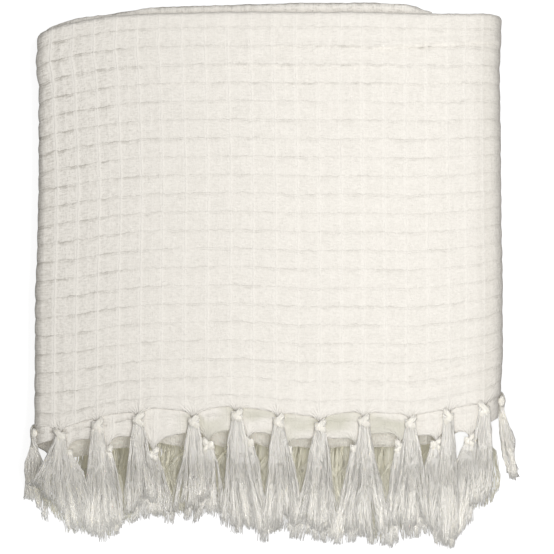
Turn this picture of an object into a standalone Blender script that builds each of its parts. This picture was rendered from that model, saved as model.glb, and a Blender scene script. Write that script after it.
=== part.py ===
"""A fringed waffle-weave throw blanket, folded into a square packet and laid flat.

The throw is one rectangle of cotton cloth with a knotted fringe along both ends. It is folded in
half along its length so that the two fringed ends meet, in half again, and then into thirds across
its width: the front panel stays on top, the left flap turns under it, and the right flap turns
under both. Every layer is the same cloth, so the cloth is one closed sheet that runs back and forth
through all twelve layers.

Frame: metres, +Z up, the floor at Z = 0, the fringe towards -Y, the origin under the middle of the
part's outline.
"""

import bpy
import numpy as np

# The throw before it was folded.
THROW_WIDTH = 1.300
THROW_LENGTH = 1.700
CLOTH = 0.0020
WAFFLE_CELLS_ACROSS = 59
TASSEL_PITCH = 2 * THROW_WIDTH / WAFFLE_CELLS_ACROSS

# The fold along the length: four layers in one packet, 0 at the bottom and 3 at the visible top.
LAYER_STEP = 0.0026
PACKET_LAYERS = 4
PACKET_TOP = (PACKET_LAYERS - 1) * LAYER_STEP
TOP_EDGE = 0.2748
END_A_EDGE = -0.1395
END_B_EDGE = -0.1632
LOWER_FOLD_EDGE = -0.1519
INNER_FOLD_INSET = 0.0010

# The fold across the width: the front panel, then the left flap, then the right flap on the floor.
PACKET_GAP = 0.0008
LEFT_BEND_X = -0.2351
RIGHT_BEND_X = 0.2185
FRONT_CENTRE = 0.640
FRONT_HALF = (RIGHT_BEND_X - LEFT_BEND_X) / 2
PACKET_THICK = PACKET_TOP + CLOTH
LEFT_RADIUS = (CLOTH + PACKET_GAP) / 2
RIGHT_RADIUS = (CLOTH + PACKET_GAP + PACKET_THICK + PACKET_GAP) / 2
RIGHT_FLAP_Z = PACKET_TOP + CLOTH / 2
FRONT_Z = RIGHT_FLAP_Z + 2 * RIGHT_RADIUS
LEFT_FLAP_Z = FRONT_Z - 2 * LEFT_RADIUS
MID_PACKET = PACKET_TOP / 2
LEFT_BEND_LENGTH = np.pi * (LEFT_RADIUS + MID_PACKET)
RIGHT_BEND_LENGTH = np.pi * (RIGHT_RADIUS + MID_PACKET)
LEFT_FLAP_END_X = LEFT_BEND_X + FRONT_CENTRE - FRONT_HALF - LEFT_BEND_LENGTH
RIGHT_FLAP_END_X = RIGHT_BEND_X - (THROW_WIDTH - FRONT_CENTRE - FRONT_HALF - RIGHT_BEND_LENGTH)

# The uneven outline, across the part. top and hem: how far the upper fold and the fringed hem move
# along Y. flap: how far the left flap's upper fold stands proud of the front. height: thickness.
OUTLINE_COLUMNS = ("x", "top", "hem", "flap", "height")
OUTLINE = np.array((
    (-0.2460, -0.0270, -0.0165, 0.0020, 0.88),
    (LEFT_BEND_X, -0.0186, -0.0175, 0.0020, 0.91),
    (-0.2050, -0.0108, -0.0145, 0.0050, 0.95),
    (-0.1690, -0.0046, -0.0050, 0.0020, 0.98),
    (-0.1280, -0.0015, 0.0010, 0.0065, 1.00),
    (-0.0410, 0.0000, 0.0035, 0.0070, 1.00),
    (0.0270, 0.0000, -0.0030, 0.0092, 1.00),
    (0.0900, 0.0000, -0.0020, 0.0096, 1.00),
    (0.1390, -0.0015, -0.0040, 0.0090, 1.00),
    (0.1780, -0.0026, 0.0020, 0.0020, 0.99),
    (RIGHT_BEND_X, -0.0020, 0.0110, 0.0020, 0.97),
    (0.2345, -0.0080, 0.0210, 0.0020, 0.94),
))

# The uneven sides, from the fringe up. top and hem: how much of the outline's shift is felt there.
# left and right: how far each side moves along X. lift: how much of the room for knots is taken.
SIDES_COLUMNS = ("y", "top", "hem", "left", "right", "lift")
SIDES = np.array((
    (-0.3000, 0.00, 1.00, -0.0020, -0.0020, 1.0),
    (-0.1320, 0.00, 1.00, -0.0020, -0.0020, 1.0),
    (-0.0950, 0.00, 0.75, -0.0010, 0.0000, 0.0),
    (-0.0200, 0.00, 0.35, -0.0020, 0.0000, 0.0),
    (0.1000, 0.12, 0.00, 0.0020, -0.0020, 0.0),
    (0.2000, 0.60, 0.00, 0.0030, -0.0030, 0.0),
    (0.2500, 0.93, 0.00, 0.0025, 0.0000, 0.0),
    (0.2900, 1.00, 0.00, 0.0000, 0.0010, 0.0),
))

# The middle of the whole outline, fringe and all, which is moved to the origin.
OUTLINE_MIDDLE = np.array((-0.0030, -0.0019, 0.0))

# Room that a row of knots needs: each row lifts the layers above it by this much.
KNOT_ROOM = 0.0040

# The fringe: tassels at an even pitch, except where the front row and the row behind it show.
# Places are along the cloth's end, from the middle of the front panel.
HEM = 0.0070
HEM_GAP = 0.0008
SCALLOP = 0.0035
KNOT_LENGTH = 0.0130
KNOT_WIDTH = 0.0130
KNOT_THICK = 0.0058
NECK_WIDTH = 0.0084
NECK_THICK = 0.0024
ROOT_WIDTH = 0.0090
FIRST_FLAP_TASSEL = {"A": (-0.2984, 0.3186), "B": (-0.2540, 0.2680)}
TASSELS_ON_EACH_FLAP = {"A": 8, "B": 9}
FRONT_TASSELS = {
    "A": (
        -0.2351, -0.2109, -0.1727, -0.1314, -0.0756, -0.0322, 0.0101,
        0.0535, 0.0990, 0.1475, 0.1868, 0.2240, 0.2451,
    ),
    "B": (
        -0.2039, -0.1636, -0.1171, -0.0614, -0.0211, 0.0182, 0.0543,
        0.0905, 0.1370, 0.1742, 0.2093,
    ),
}

# The line that the tips reach, across the part. End A's tips stop a little short of it.
FRINGE_COLUMNS = ("x", "y")
FRINGE_END = np.array((
    (-0.2560, -0.2420),
    (-0.2440, -0.2500),
    (-0.2200, -0.2640),
    (-0.1850, -0.2690),
    (-0.1400, -0.2560),
    (-0.0950, -0.2610),
    (-0.0480, -0.2680),
    (0.0240, -0.2740),
    (0.1060, -0.2790),
    (0.1480, -0.2820),
    (0.1790, -0.2720),
    (0.2000, -0.2560),
    (0.2200, -0.2500),
    (0.2400, -0.2300),
    (0.2550, -0.2190),
))

# Where the strands of each row lie, by end and panel. neck, over and lane: the height of a strand's
# middle at the knot, where the other end's knots are passed, and where it lies on the row below.
# LANE_SINK: the share of their height that the rows lose for each metre on from there.
STRAND_THICK = 0.0021
STRAND_HALF_WIDTH = 0.0028
TIP_THICK = 0.0013
TIP_HALF_WIDTH = 0.0012
STRANDS = 4
OVER_Y = -0.1885
LANE_Y = -0.2150
SIDE_LANE_Y = -0.2050
LANES = {
    ("A", "right"): (0.00120, 0.00105, 0.00105),
    ("B", "right"): (0.00560, 0.00480, 0.00360),
    ("A", "left"): (0.01560, 0.01300, 0.00610),
    ("B", "left"): (0.02020, 0.01960, 0.00860),
    ("B", "front"): (0.03340, 0.03280, 0.01110),
    ("A", "front"): (0.03820, 0.03820, 0.01360),
}
LANE_SINK = 5.9
SIDE_NECK = 0.0340
SIDE_TASSEL_LANES = {"left": (0.0250, 0.0200, 0.00105), "right": (0.0170, 0.0100, 0.00105)}
SIDE_TASSEL_LEAN = {"left": -0.002, "right": 0.011}

BEND_STEPS = 6
WIDE_FOLD_STEPS = 5
TIGHT_FOLD_STEPS = 4


def column(table, columns, name, at):
    """The named column of a table, read in straight lines between its rows."""
    return np.interp(at, table[:, 0], table[:, columns.index(name)])


def length_fold(v):
    """Where a point lies in the folded packet, from its distance v from end A along the throw.

    Returns its place along Y, its height in the packet, and the two parts of the normal of the
    cloth's face side. Four straight runs are joined by three half turns.
    """
    wide, tight = 1.5 * LAYER_STEP, 0.5 * LAYER_STEP
    outer_y = TOP_EDGE - CLOTH / 2 - wide
    inner_y = outer_y - INNER_FOLD_INSET
    lower_y = LOWER_FOLD_EDGE + CLOTH / 2 + tight
    runs = (
        ("run", END_A_EDGE, outer_y, PACKET_TOP, 1),
        ("turn", outer_y, wide, MID_PACKET, 1, 1, 1),
        ("run", outer_y, lower_y, 0.0, -1),
        ("turn", lower_y, tight, tight, -1, -1, -1),
        ("run", lower_y, inner_y, LAYER_STEP, 1),
        ("turn", inner_y, tight, MID_PACKET, 1, -1, -1),
        ("run", inner_y, END_B_EDGE, 2 * LAYER_STEP, -1),
    )
    y, z = np.zeros_like(v), np.zeros_like(v)
    ny, nz = np.zeros_like(v), np.zeros_like(v)
    start = 0.0
    for index, (kind, *sizes) in enumerate(runs):
        last = index == len(runs) - 1
        if kind == "run":
            y0, y1, height, face = sizes
            length = abs(y1 - y0)
            inside = (v >= start) & ((v < start + length) | last)
            way = np.sign(y1 - y0)
            y[inside] = y0 + way * (v[inside] - start)
            z[inside] = height
            ny[inside], nz[inside] = 0.0, face
        else:
            y0, radius, height, side, rise, outward = sizes
            length = np.pi * radius
            inside = (v >= start) & (v < start + length)
            turn = (v[inside] - start) / radius
            y[inside] = y0 + side * radius * np.sin(turn)
            z[inside] = height + rise * radius * np.cos(turn)
            flip = outward * side
            ny[inside] = flip * side * np.sin(turn)
            nz[inside] = flip * rise * np.cos(turn)
        start += length
    return y, z, ny, nz


def fold_lengths():
    """The length of each straight run and half turn, in order from end A to end B."""
    wide, tight = 1.5 * LAYER_STEP, 0.5 * LAYER_STEP
    outer_y = TOP_EDGE - CLOTH / 2 - wide
    inner_y = outer_y - INNER_FOLD_INSET
    lower_y = LOWER_FOLD_EDGE + CLOTH / 2 + tight
    return (
        outer_y - END_A_EDGE, np.pi * wide, outer_y - lower_y, np.pi * tight,
        inner_y - lower_y, np.pi * tight, inner_y - END_B_EDGE,
    )


def width_fold(s):
    """The panel that a point lies on, from its distance s from the middle of the front panel.

    Returns the place of the packet's lowest layer in X and Z, the two parts of the packet's own
    normal, the shift of a flap along Y, and the share of the knot room taken there by the layers
    above each row of knots and by end A's own row.
    """
    x, z = np.zeros_like(s), np.zeros_like(s)
    nx, nz = np.zeros_like(s), np.ones_like(s)
    left = np.clip(-s - FRONT_HALF, 0, LEFT_BEND_LENGTH)
    right = np.clip(s - FRONT_HALF, 0, RIGHT_BEND_LENGTH)
    left_turn = np.pi * left / LEFT_BEND_LENGTH
    right_turn = np.pi * right / RIGHT_BEND_LENGTH
    left_flat = np.maximum(-s - FRONT_HALF - LEFT_BEND_LENGTH, 0)
    right_flat = np.maximum(s - FRONT_HALF - RIGHT_BEND_LENGTH, 0)
    middle = (LEFT_BEND_X + RIGHT_BEND_X) / 2
    x = np.clip(s, -FRONT_HALF, FRONT_HALF) + middle
    x += -LEFT_RADIUS * np.sin(left_turn) + left_flat
    x += RIGHT_RADIUS * np.sin(right_turn) - right_flat
    z = FRONT_Z - LEFT_RADIUS * (1 - np.cos(left_turn)) - RIGHT_RADIUS * (1 - np.cos(right_turn))
    nx = np.sin(right_turn) - np.sin(left_turn)
    nz = np.cos(left_turn) * np.cos(right_turn)
    flap = column(OUTLINE, OUTLINE_COLUMNS, "flap", x) * left_turn / np.pi
    left_under = ((1 - np.cos(left_turn)) / 2) ** 2
    right_under = ((1 - np.cos(right_turn)) / 2) ** 2
    others = 2 - right_under
    end_a = 2 - left_under - 2 * right_under
    return x, z, nx, nz, flap, others, end_a


def settled(points):
    """The points after the packet has settled: its outline is uneven, and its sides are thinner."""
    x, y, z = points.T
    top = column(OUTLINE, OUTLINE_COLUMNS, "top", x) * column(SIDES, SIDES_COLUMNS, "top", y)
    hem = column(OUTLINE, OUTLINE_COLUMNS, "hem", x) * column(SIDES, SIDES_COLUMNS, "hem", y)
    across = (x - (LEFT_BEND_X + RIGHT_BEND_X) / 2) / FRONT_HALF
    left = column(SIDES, SIDES_COLUMNS, "left", y) * np.clip(-across, 0, 1)
    right = column(SIDES, SIDES_COLUMNS, "right", y) * np.clip(across, 0, 1)
    height = column(OUTLINE, OUTLINE_COLUMNS, "height", x)
    places = np.stack([x + left + right, y + top + hem, z * height], axis=1)
    return places - OUTLINE_MIDDLE


def cloth_points(s, v, h):
    """Places of points of the throw: s across it, v along it, and h off its middle, face side up."""
    y, level, ny, nz = length_fold(v)
    x0, z0, px, pz, flap, others, end_a = width_fold(s)
    proud = flap * column(SIDES, SIDES_COLUMNS, "top", y)
    rows = np.where(level > 2.5 * LAYER_STEP, end_a, others)
    lift = KNOT_ROOM * rows * column(SIDES, SIDES_COLUMNS, "lift", y)
    off = level + h * nz
    return np.stack([x0 + px * off, y + ny * h + proud, z0 + pz * off + lift], axis=1)


def across_stations():
    """Places across the throw where the folded cloth needs an edge, flap end to flap end."""
    outline = OUTLINE[:, 0]
    front = outline[(outline >= LEFT_BEND_X) & (outline <= RIGHT_BEND_X)]
    middle = (LEFT_BEND_X + RIGHT_BEND_X) / 2
    left_turns = np.linspace(0, LEFT_BEND_LENGTH, BEND_STEPS + 1)[1:]
    right_turns = np.linspace(0, RIGHT_BEND_LENGTH, BEND_STEPS + 1)[1:]
    on_left = outline[(outline > LEFT_BEND_X) & (outline < LEFT_FLAP_END_X)] - LEFT_BEND_X
    on_right = RIGHT_BEND_X - outline[(outline < RIGHT_BEND_X) & (outline > RIGHT_FLAP_END_X)]
    return np.sort(np.concatenate([
        [-FRONT_CENTRE, THROW_WIDTH - FRONT_CENTRE],
        front - middle,
        -FRONT_HALF - left_turns,
        FRONT_HALF + right_turns,
        -FRONT_HALF - LEFT_BEND_LENGTH - on_left,
        FRONT_HALF + RIGHT_BEND_LENGTH + on_right,
    ]))


def along_stations():
    """Places along the throw where the folded cloth needs an edge, from hem to hem."""
    lengths = fold_lengths()
    steps = (0, WIDE_FOLD_STEPS, 0, TIGHT_FOLD_STEPS, 0, TIGHT_FOLD_STEPS, 0)
    edges = SIDES[:, 0]
    places = []
    start = 0.0
    for length, count in zip(lengths, steps):
        places.extend([start, start + length])
        if count:
            places.extend(start + length * np.arange(1, count) / count)
        else:
            ends, _, _, _ = length_fold(np.array([start + 1e-6, start + length - 1e-6]))
            low, high = ends.min(), ends.max()
            inside = edges[(edges > low + 1e-3) & (edges < high - 1e-3)]
            places.extend(start + np.abs(inside - ends[0]))
        start += length
    hems = (HEM + HEM_GAP, start - HEM - HEM_GAP)
    places = [p for p in places if hems[0] + 1e-3 < p < hems[1] - 1e-3]
    return np.unique(np.round(np.array([*hems, *places]), 7))


def grid_faces(rows, columns, first, second):
    """Faces of a closed sheet from two grids of points that start at first and second."""
    corner = np.arange(rows * columns).reshape(rows, columns)
    quads = np.stack([corner[:-1, :-1], corner[1:, :-1], corner[1:, 1:], corner[:-1, 1:]], axis=-1)
    face = quads.reshape(-1, 4)
    rim = np.concatenate([
        corner[:, 0], corner[-1, 1:], corner[-2::-1, -1], corner[0, -2:0:-1],
    ])
    after = np.roll(rim, -1)
    side = np.stack([rim + first, after + first, after + second, rim + second], axis=1)
    return np.concatenate([face + second, face[:, ::-1] + first, side]).tolist()


def new_object(name, points, faces, material):
    """One named object from points and faces, flat shaded like the folded cloth's facets."""
    mesh = bpy.data.meshes.new(name)
    mesh.from_pydata([tuple(p) for p in points], [], faces)
    mesh.update()
    mesh.materials.append(material)
    thing = bpy.data.objects.new(name, mesh)
    bpy.context.scene.collection.objects.link(thing)
    return thing


def cotton(name, colour, roughness):
    """A matt cotton finish."""
    material = bpy.data.materials.new(name)
    material.use_nodes = True
    shader = material.node_tree.nodes["Principled BSDF"]
    shader.inputs["Base Color"].default_value = (*colour, 1.0)
    shader.inputs["Roughness"].default_value = roughness
    shader.inputs["Metallic"].default_value = 0.0
    return material


def build_cloth(material):
    """The whole throw as one closed sheet, from hem to hem and from selvedge to selvedge."""
    across, along = across_stations(), along_stations()
    s, v = (grid.ravel() for grid in np.meshgrid(across, along, indexing="ij"))
    half = np.full_like(s, CLOTH / 2)
    under, face = cloth_points(s, v, -half), cloth_points(s, v, half)
    points = settled(np.concatenate([under, face]))
    count = len(s)
    faces = grid_faces(len(across), len(along), 0, count)
    return new_object("cloth", points, faces, material)


def tassel_places(end):
    """Places of one end's tassels, from the middle of the front panel, left to right."""
    first_left, first_right = FIRST_FLAP_TASSEL[end]
    steps = TASSEL_PITCH * np.arange(TASSELS_ON_EACH_FLAP[end])
    return np.sort(np.concatenate([first_left - steps, FRONT_TASSELS[end], first_right + steps]))


def panel_at(s):
    """The panel that a place across the throw lies on, and the side bend that it is in."""
    if abs(s) <= FRONT_HALF + 1e-6:
        return "front", None
    if s < 0:
        return "left", ("left" if s > -FRONT_HALF - LEFT_BEND_LENGTH else None)
    return "right", ("right" if s < FRONT_HALF + RIGHT_BEND_LENGTH else None)


def half_root(s):
    """Half the width of a tassel's root as a length across the throw, narrower in a side bend."""
    bend = panel_at(s)[1]
    if bend is None:
        return ROOT_WIDTH / 2
    radius = LEFT_RADIUS if bend == "left" else RIGHT_RADIUS
    return ROOT_WIDTH / 2 * (radius + MID_PACKET) / (radius + PACKET_TOP)


def sway(index, scale):
    """An even-handed variation from one tassel to the next, between -scale and scale."""
    return scale * np.sin(2.4 * index + 0.7 * np.sin(1.3 * index))


def ring(centre, tangent, normal, half_widths, halves):
    """Six points round a flattened section: three on the face side, then three on the back."""
    wide = [-half_widths, 0.0, half_widths, half_widths, 0.0, -half_widths]
    deep = [halves[0], halves[1], halves[0], -halves[0], -halves[1], -halves[0]]
    return [centre + tangent * w + normal * d for w, d in zip(wide, deep)]


class Fringe:
    """One end's knotted fringe: the hem strip, its knots and their strands, as one closed body."""

    def __init__(self, end):
        self.end = end
        length = sum(fold_lengths())
        self.edge = 0.0 if end == "A" else length
        self.inward = 1.0 if end == "A" else -1.0
        self.edge_y = END_A_EDGE if end == "A" else END_B_EDGE
        self.points = []
        self.faces = []

    def add(self, points):
        """Keeps points, and returns the number of the first."""
        first = len(self.points)
        self.points.extend(points)
        return first

    def face(self, *corners):
        """Keeps a face; end B is turned over, so its corners run the other way."""
        self.faces.append(list(corners) if self.end == "A" else list(corners)[::-1])

    def stations(self, places):
        """Every place across the throw where the hem strip needs an edge, and each knot's three."""
        knots = [(s - half_root(s), s, s + half_root(s)) for s in places]
        taken = np.array(knots)
        gaps = [(a[2] + b[0]) / 2 for a, b in zip(knots, knots[1:])]
        extra = [*across_stations(), *gaps]
        clear = 0.0012
        free = [
            s for s in extra
            if not np.any((taken[:, 0] - clear < s) & (s < taken[:, 2] + clear))
        ]
        ends = (-FRONT_CENTRE, THROW_WIDTH - FRONT_CENTRE)
        kept = sorted({round(float(s), 7) for s in [*free, *taken.ravel(), *ends]})
        merged = [kept[0]]
        roots = {round(float(s), 7) for s in taken.ravel()}
        for s in kept[1:]:
            if s - merged[-1] > clear or s in roots:
                merged.append(s)
        return merged, knots

    def scallop(self, s, places):
        """How far the strip's edge is drawn in at s, most of all half way between two knots."""
        away = np.abs(np.asarray(places) - s)
        near = np.sort(away)[:2]
        share = np.clip((near[0] - ROOT_WIDTH / 2) / (near.sum() / 2 - ROOT_WIDTH / 2 + 1e-9), 0, 1)
        return SCALLOP * np.sin(share * np.pi / 2)

    def strip(self, places):
        """The hem strip, with its outer face left open where the knots leave it."""
        stations, knots = self.stations(places)
        first = []
        for s in stations:
            low = self.edge + self.inward * self.scallop(s, places)
            high = self.edge + self.inward * HEM
            four = cloth_points(
                np.full(4, s), np.array([low, low, high, high]),
                np.array([0.5, -0.5, -0.5, 0.5]) * CLOTH,
            )
            first.append(self.add(list(four)))
        roots = {round(float(s), 7): k for k, knot in enumerate(knots) for s in knot[:2]}
        for here, there, s in zip(first, first[1:], stations):
            for a, b in ((1, 2), (2, 3), (3, 0)):
                self.face(here + a, here + b, there + b, there + a)
            if round(float(s), 7) not in roots:
                self.face(here, here + 1, there + 1, there)
        self.face(first[0] + 3, first[0] + 2, first[0] + 1, first[0])
        self.face(*(first[-1] + i for i in range(4)))
        index = {s: f for s, f in zip(stations, first)}
        return [[index[round(float(s), 7)] for s in knot] for knot in knots]

    def frame_at(self, s):
        """The middle of the cloth's edge at s, the way across the cloth, and its face side."""
        step = 1e-4
        at = np.array([s, s + step, s - step, s])
        off = np.array([0.0, 0.0, 0.0, step])
        here, after, before, above = cloth_points(at, np.full(4, self.edge), off)
        tangent = after - before
        tangent[1] = 0.0
        normal = above - here
        return here, tangent / np.linalg.norm(tangent), normal / np.linalg.norm(normal)

    def tassel(self, s, number, roots):
        """A knot that bulges from the hem strip, and four strands that run down to the floor."""
        panel, bend = panel_at(s)
        edge, tangent, normal = self.frame_at(s)
        down = np.array([0.0, -1.0, 0.0])
        spare = (KNOT_THICK - CLOTH) / 2
        if bend:
            rise = normal * spare
        else:
            rise = np.array([0.0, 0.0, spare if self.end == "A" else -spare])
        lanes = SIDE_TASSEL_LANES[bend] if bend else LANES[self.end, panel]
        waist = edge + down * 0.4 * KNOT_LENGTH + rise
        neck = edge + down * (SIDE_NECK if bend else KNOT_LENGTH) + (1.6 * rise if bend else 0)
        if not bend:
            neck[2] = lanes[0]
        bulge = self.add(ring(
            waist, tangent, normal, KNOT_WIDTH / 2, (0.30 * KNOT_THICK, 0.5 * KNOT_THICK)))
        if bend:
            tangent, normal = np.array([1.0, 0.0, 0.0]), np.array([0.0, 0.0, 1.0])
        root = self.add(ring(
            neck, tangent, normal, NECK_WIDTH / 2, (0.40 * NECK_THICK, 0.5 * NECK_THICK)))
        six = range(6)
        hem = [*roots, *(r + 1 for r in roots[::-1])]
        knot = [bulge + i for i in six]
        throat = [root + i for i in six]
        for here, there in ((hem, knot), (knot, throat)):
            for i in six:
                j = (i + 1) % 6
                if bend == "right":
                    self.face(here[i], there[i], there[j])
                    self.face(here[i], there[j], here[j])
                else:
                    self.face(here[i], there[i], here[j])
                    self.face(there[i], there[j], here[j])
        self.strands(neck, tangent, number, bend, lanes, throat)

    def strands(self, neck, tangent, number, bend, lanes, root):
        """Four three-sided strands: down past the other end's knots, then flat to a thin tip."""
        across = 1.0 if bend or tangent[0] > 0 else -1.0
        up = across if self.end == "A" else -across
        lean = SIDE_TASSEL_LEAN[bend] if bend else sway(number, 0.004)
        fan = 0.0052 if bend else 0.0066 + sway(number + 5, 0.0007)
        tip_y = column(FRINGE_END, FRINGE_COLUMNS, "y", neck[0] + lean)
        tip_y += (0.012 if self.end == "A" and not bend else 0.0) + sway(number + 2, 0.004)
        tip_y -= column(OUTLINE, OUTLINE_COLUMNS, "hem", neck[0] + lean)
        first, second = (0.0034, 0.0042) if bend else (0.0040, 0.0056)
        stations = (
            (OVER_Y, lanes[1], first, 0.25),
            (SIDE_LANE_Y if bend else LANE_Y, lanes[2], second, 0.6),
            (tip_y, lanes[2], fan, 1.0),
        )
        # The strands' sections, as the points of the neck's ring that each one grows from.
        t0, t1, t2, b2, b1, b0 = root
        sections = ((t0, t1, b0), (t1, b1, b0), (t1, t2, b1), (t2, b2, b1))
        for k, section in enumerate(sections):
            face_up = k % 2 == 0
            previous = section
            for n, (y, z, spacing, share) in enumerate(stations):
                shift = across * spacing * (k - (STRANDS - 1) / 2) + lean * share
                half, thick = STRAND_HALF_WIDTH, STRAND_THICK / 2
                if n == 2:
                    y += sway(7 * number + k, 0.004)
                    half, thick = TIP_HALF_WIDTH, TIP_THICK / 2
                    sunk = LANE_SINK * (LANE_Y - y)
                    z = thick + (z - STRAND_THICK / 2) * (1 - sunk)
                middle = np.array([neck[0] + shift, y, z])
                side = np.array([across * half, 0, 0])
                face_side = np.array([0, 0, thick * up])
                if face_up:
                    corners = (middle - side + face_side, middle + side + face_side,
                               middle - face_side)
                else:
                    corners = (middle + face_side, middle + side - face_side,
                               middle - side - face_side)
                first = self.add(list(corners))
                now = (first, first + 1, first + 2)
                self.face(previous[0], now[0], now[1])
                self.face(previous[0], now[1], previous[1])
                self.face(previous[1], now[1], now[2])
                self.face(previous[1], now[2], previous[2])
                self.face(previous[2], now[2], previous[0])
                self.face(now[2], now[0], previous[0])
                previous = now
            self.face(*previous[::-1])

    def build(self, material):
        """The fringe as one object."""
        places = tassel_places(self.end)
        roots = self.strip(places)
        for number, (s, three) in enumerate(zip(places, roots)):
            self.tassel(s, number, three)
        points = settled(np.array(self.points))
        return new_object(f"fringe_{self.end.lower()}", points, self.faces, material)


def main():
    """Clears the scene and builds the cloth and its two fringes."""
    for thing in list(bpy.data.objects):
        bpy.data.objects.remove(thing)
    waffle = cotton("waffle_cotton", (0.87, 0.85, 0.80), 0.95)
    yarn = cotton("fringe_cotton", (0.84, 0.82, 0.76), 0.90)
    build_cloth(waffle)
    for end in ("A", "B"):
        Fringe(end).build(yarn)


main()
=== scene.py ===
"""A fringed waffle-weave throw, folded into a square packet and seen from above.

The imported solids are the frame. Over them this script lays the cloth, as one closed sheet whose
front panel carries the waffle relief and the gathers at the knots, and the two fringes, as knots
and bundles of single yarns. All lengths are in metres.
"""

import logging
from dataclasses import dataclass
from enum import Enum
from typing import Sequence

import bpy
import numpy as np
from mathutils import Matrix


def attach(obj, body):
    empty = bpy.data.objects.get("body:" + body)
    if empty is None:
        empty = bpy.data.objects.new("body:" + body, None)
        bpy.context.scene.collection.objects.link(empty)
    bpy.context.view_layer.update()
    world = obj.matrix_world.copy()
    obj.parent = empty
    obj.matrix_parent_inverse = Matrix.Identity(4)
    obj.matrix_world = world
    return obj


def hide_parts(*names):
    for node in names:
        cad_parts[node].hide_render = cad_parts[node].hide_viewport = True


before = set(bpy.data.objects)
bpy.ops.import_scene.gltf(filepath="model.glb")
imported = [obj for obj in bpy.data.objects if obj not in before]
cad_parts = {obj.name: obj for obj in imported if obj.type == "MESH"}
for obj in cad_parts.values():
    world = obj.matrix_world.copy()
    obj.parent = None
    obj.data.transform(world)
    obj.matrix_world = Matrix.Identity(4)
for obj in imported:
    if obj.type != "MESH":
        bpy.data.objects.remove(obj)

LOG = logging.getLogger("throw")
Array = np.ndarray
Socket = bpy.types.NodeSocket
Colour = tuple[float, float, float, float]
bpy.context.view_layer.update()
# The height at which the lowest strands lie.
FLOOR_REST = 0.00105


class Panel(Enum):
    """The three panels that the packet is folded into, across its width."""

    FRONT = "front"
    LEFT = "left"
    RIGHT = "right"


class End(Enum):
    """The two fringed ends of the throw: A closes the visible layer, B the one below it."""

    A = "a"
    B = "b"


@dataclass(frozen=True)
class Profile:
    """A short table with named columns, read against its first one with its corners rounded."""

    columns: tuple[str, ...]
    rows: tuple[tuple[float, ...], ...]
    soften: float

    def at(self, name: str, where: Array) -> Array:
        """The named column at the given places.

        Args:
            name: the column to read.
            where: values of the first column.

        Returns:
            The mean of seven straight-line readings spread evenly over plus or minus soften.
        """
        table = np.array(self.rows)
        values = table[:, self.columns.index(name)]
        taps = np.linspace(-self.soften, self.soften, 7)
        return np.mean([np.interp(where + tap, table[:, 0], values) for tap in taps], axis=0)


def ease(share: Array) -> Array:
    """A share from 0 to 1 that starts and ends gently: f * f * (3 - 2 * f)."""
    return share * share * (3 - 2 * share)


def mottle(x: Array, y: Array, pitch: float, seed: int) -> Array:
    """Smooth seeded noise between -1 and 1.

    The four lattice values q round a point are blended with the eased weights f and g, from the
    parts of x / pitch and y / pitch after the whole number.

    Args:
        x: first coordinate.
        y: second coordinate.
        pitch: the lattice's spacing, in the coordinates' unit.
        seed: the seed of the lattice.

    Returns:
        The noise at each point.
    """
    rows, columns = 97, 89
    lattice = np.random.default_rng(seed).uniform(-1.0, 1.0, (rows, columns))
    i, j = np.floor(x / pitch).astype(int), np.floor(y / pitch).astype(int)
    f, g = ease(x / pitch - i), ease(y / pitch - j)
    q = [[lattice[(i + a) % rows, (j + b) % columns] for b in (0, 1)] for a in (0, 1)]
    near = q[0][0] * (1 - g) + q[0][1] * g
    far = q[1][0] * (1 - g) + q[1][1] * g
    return near * (1 - f) + far * f


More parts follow.
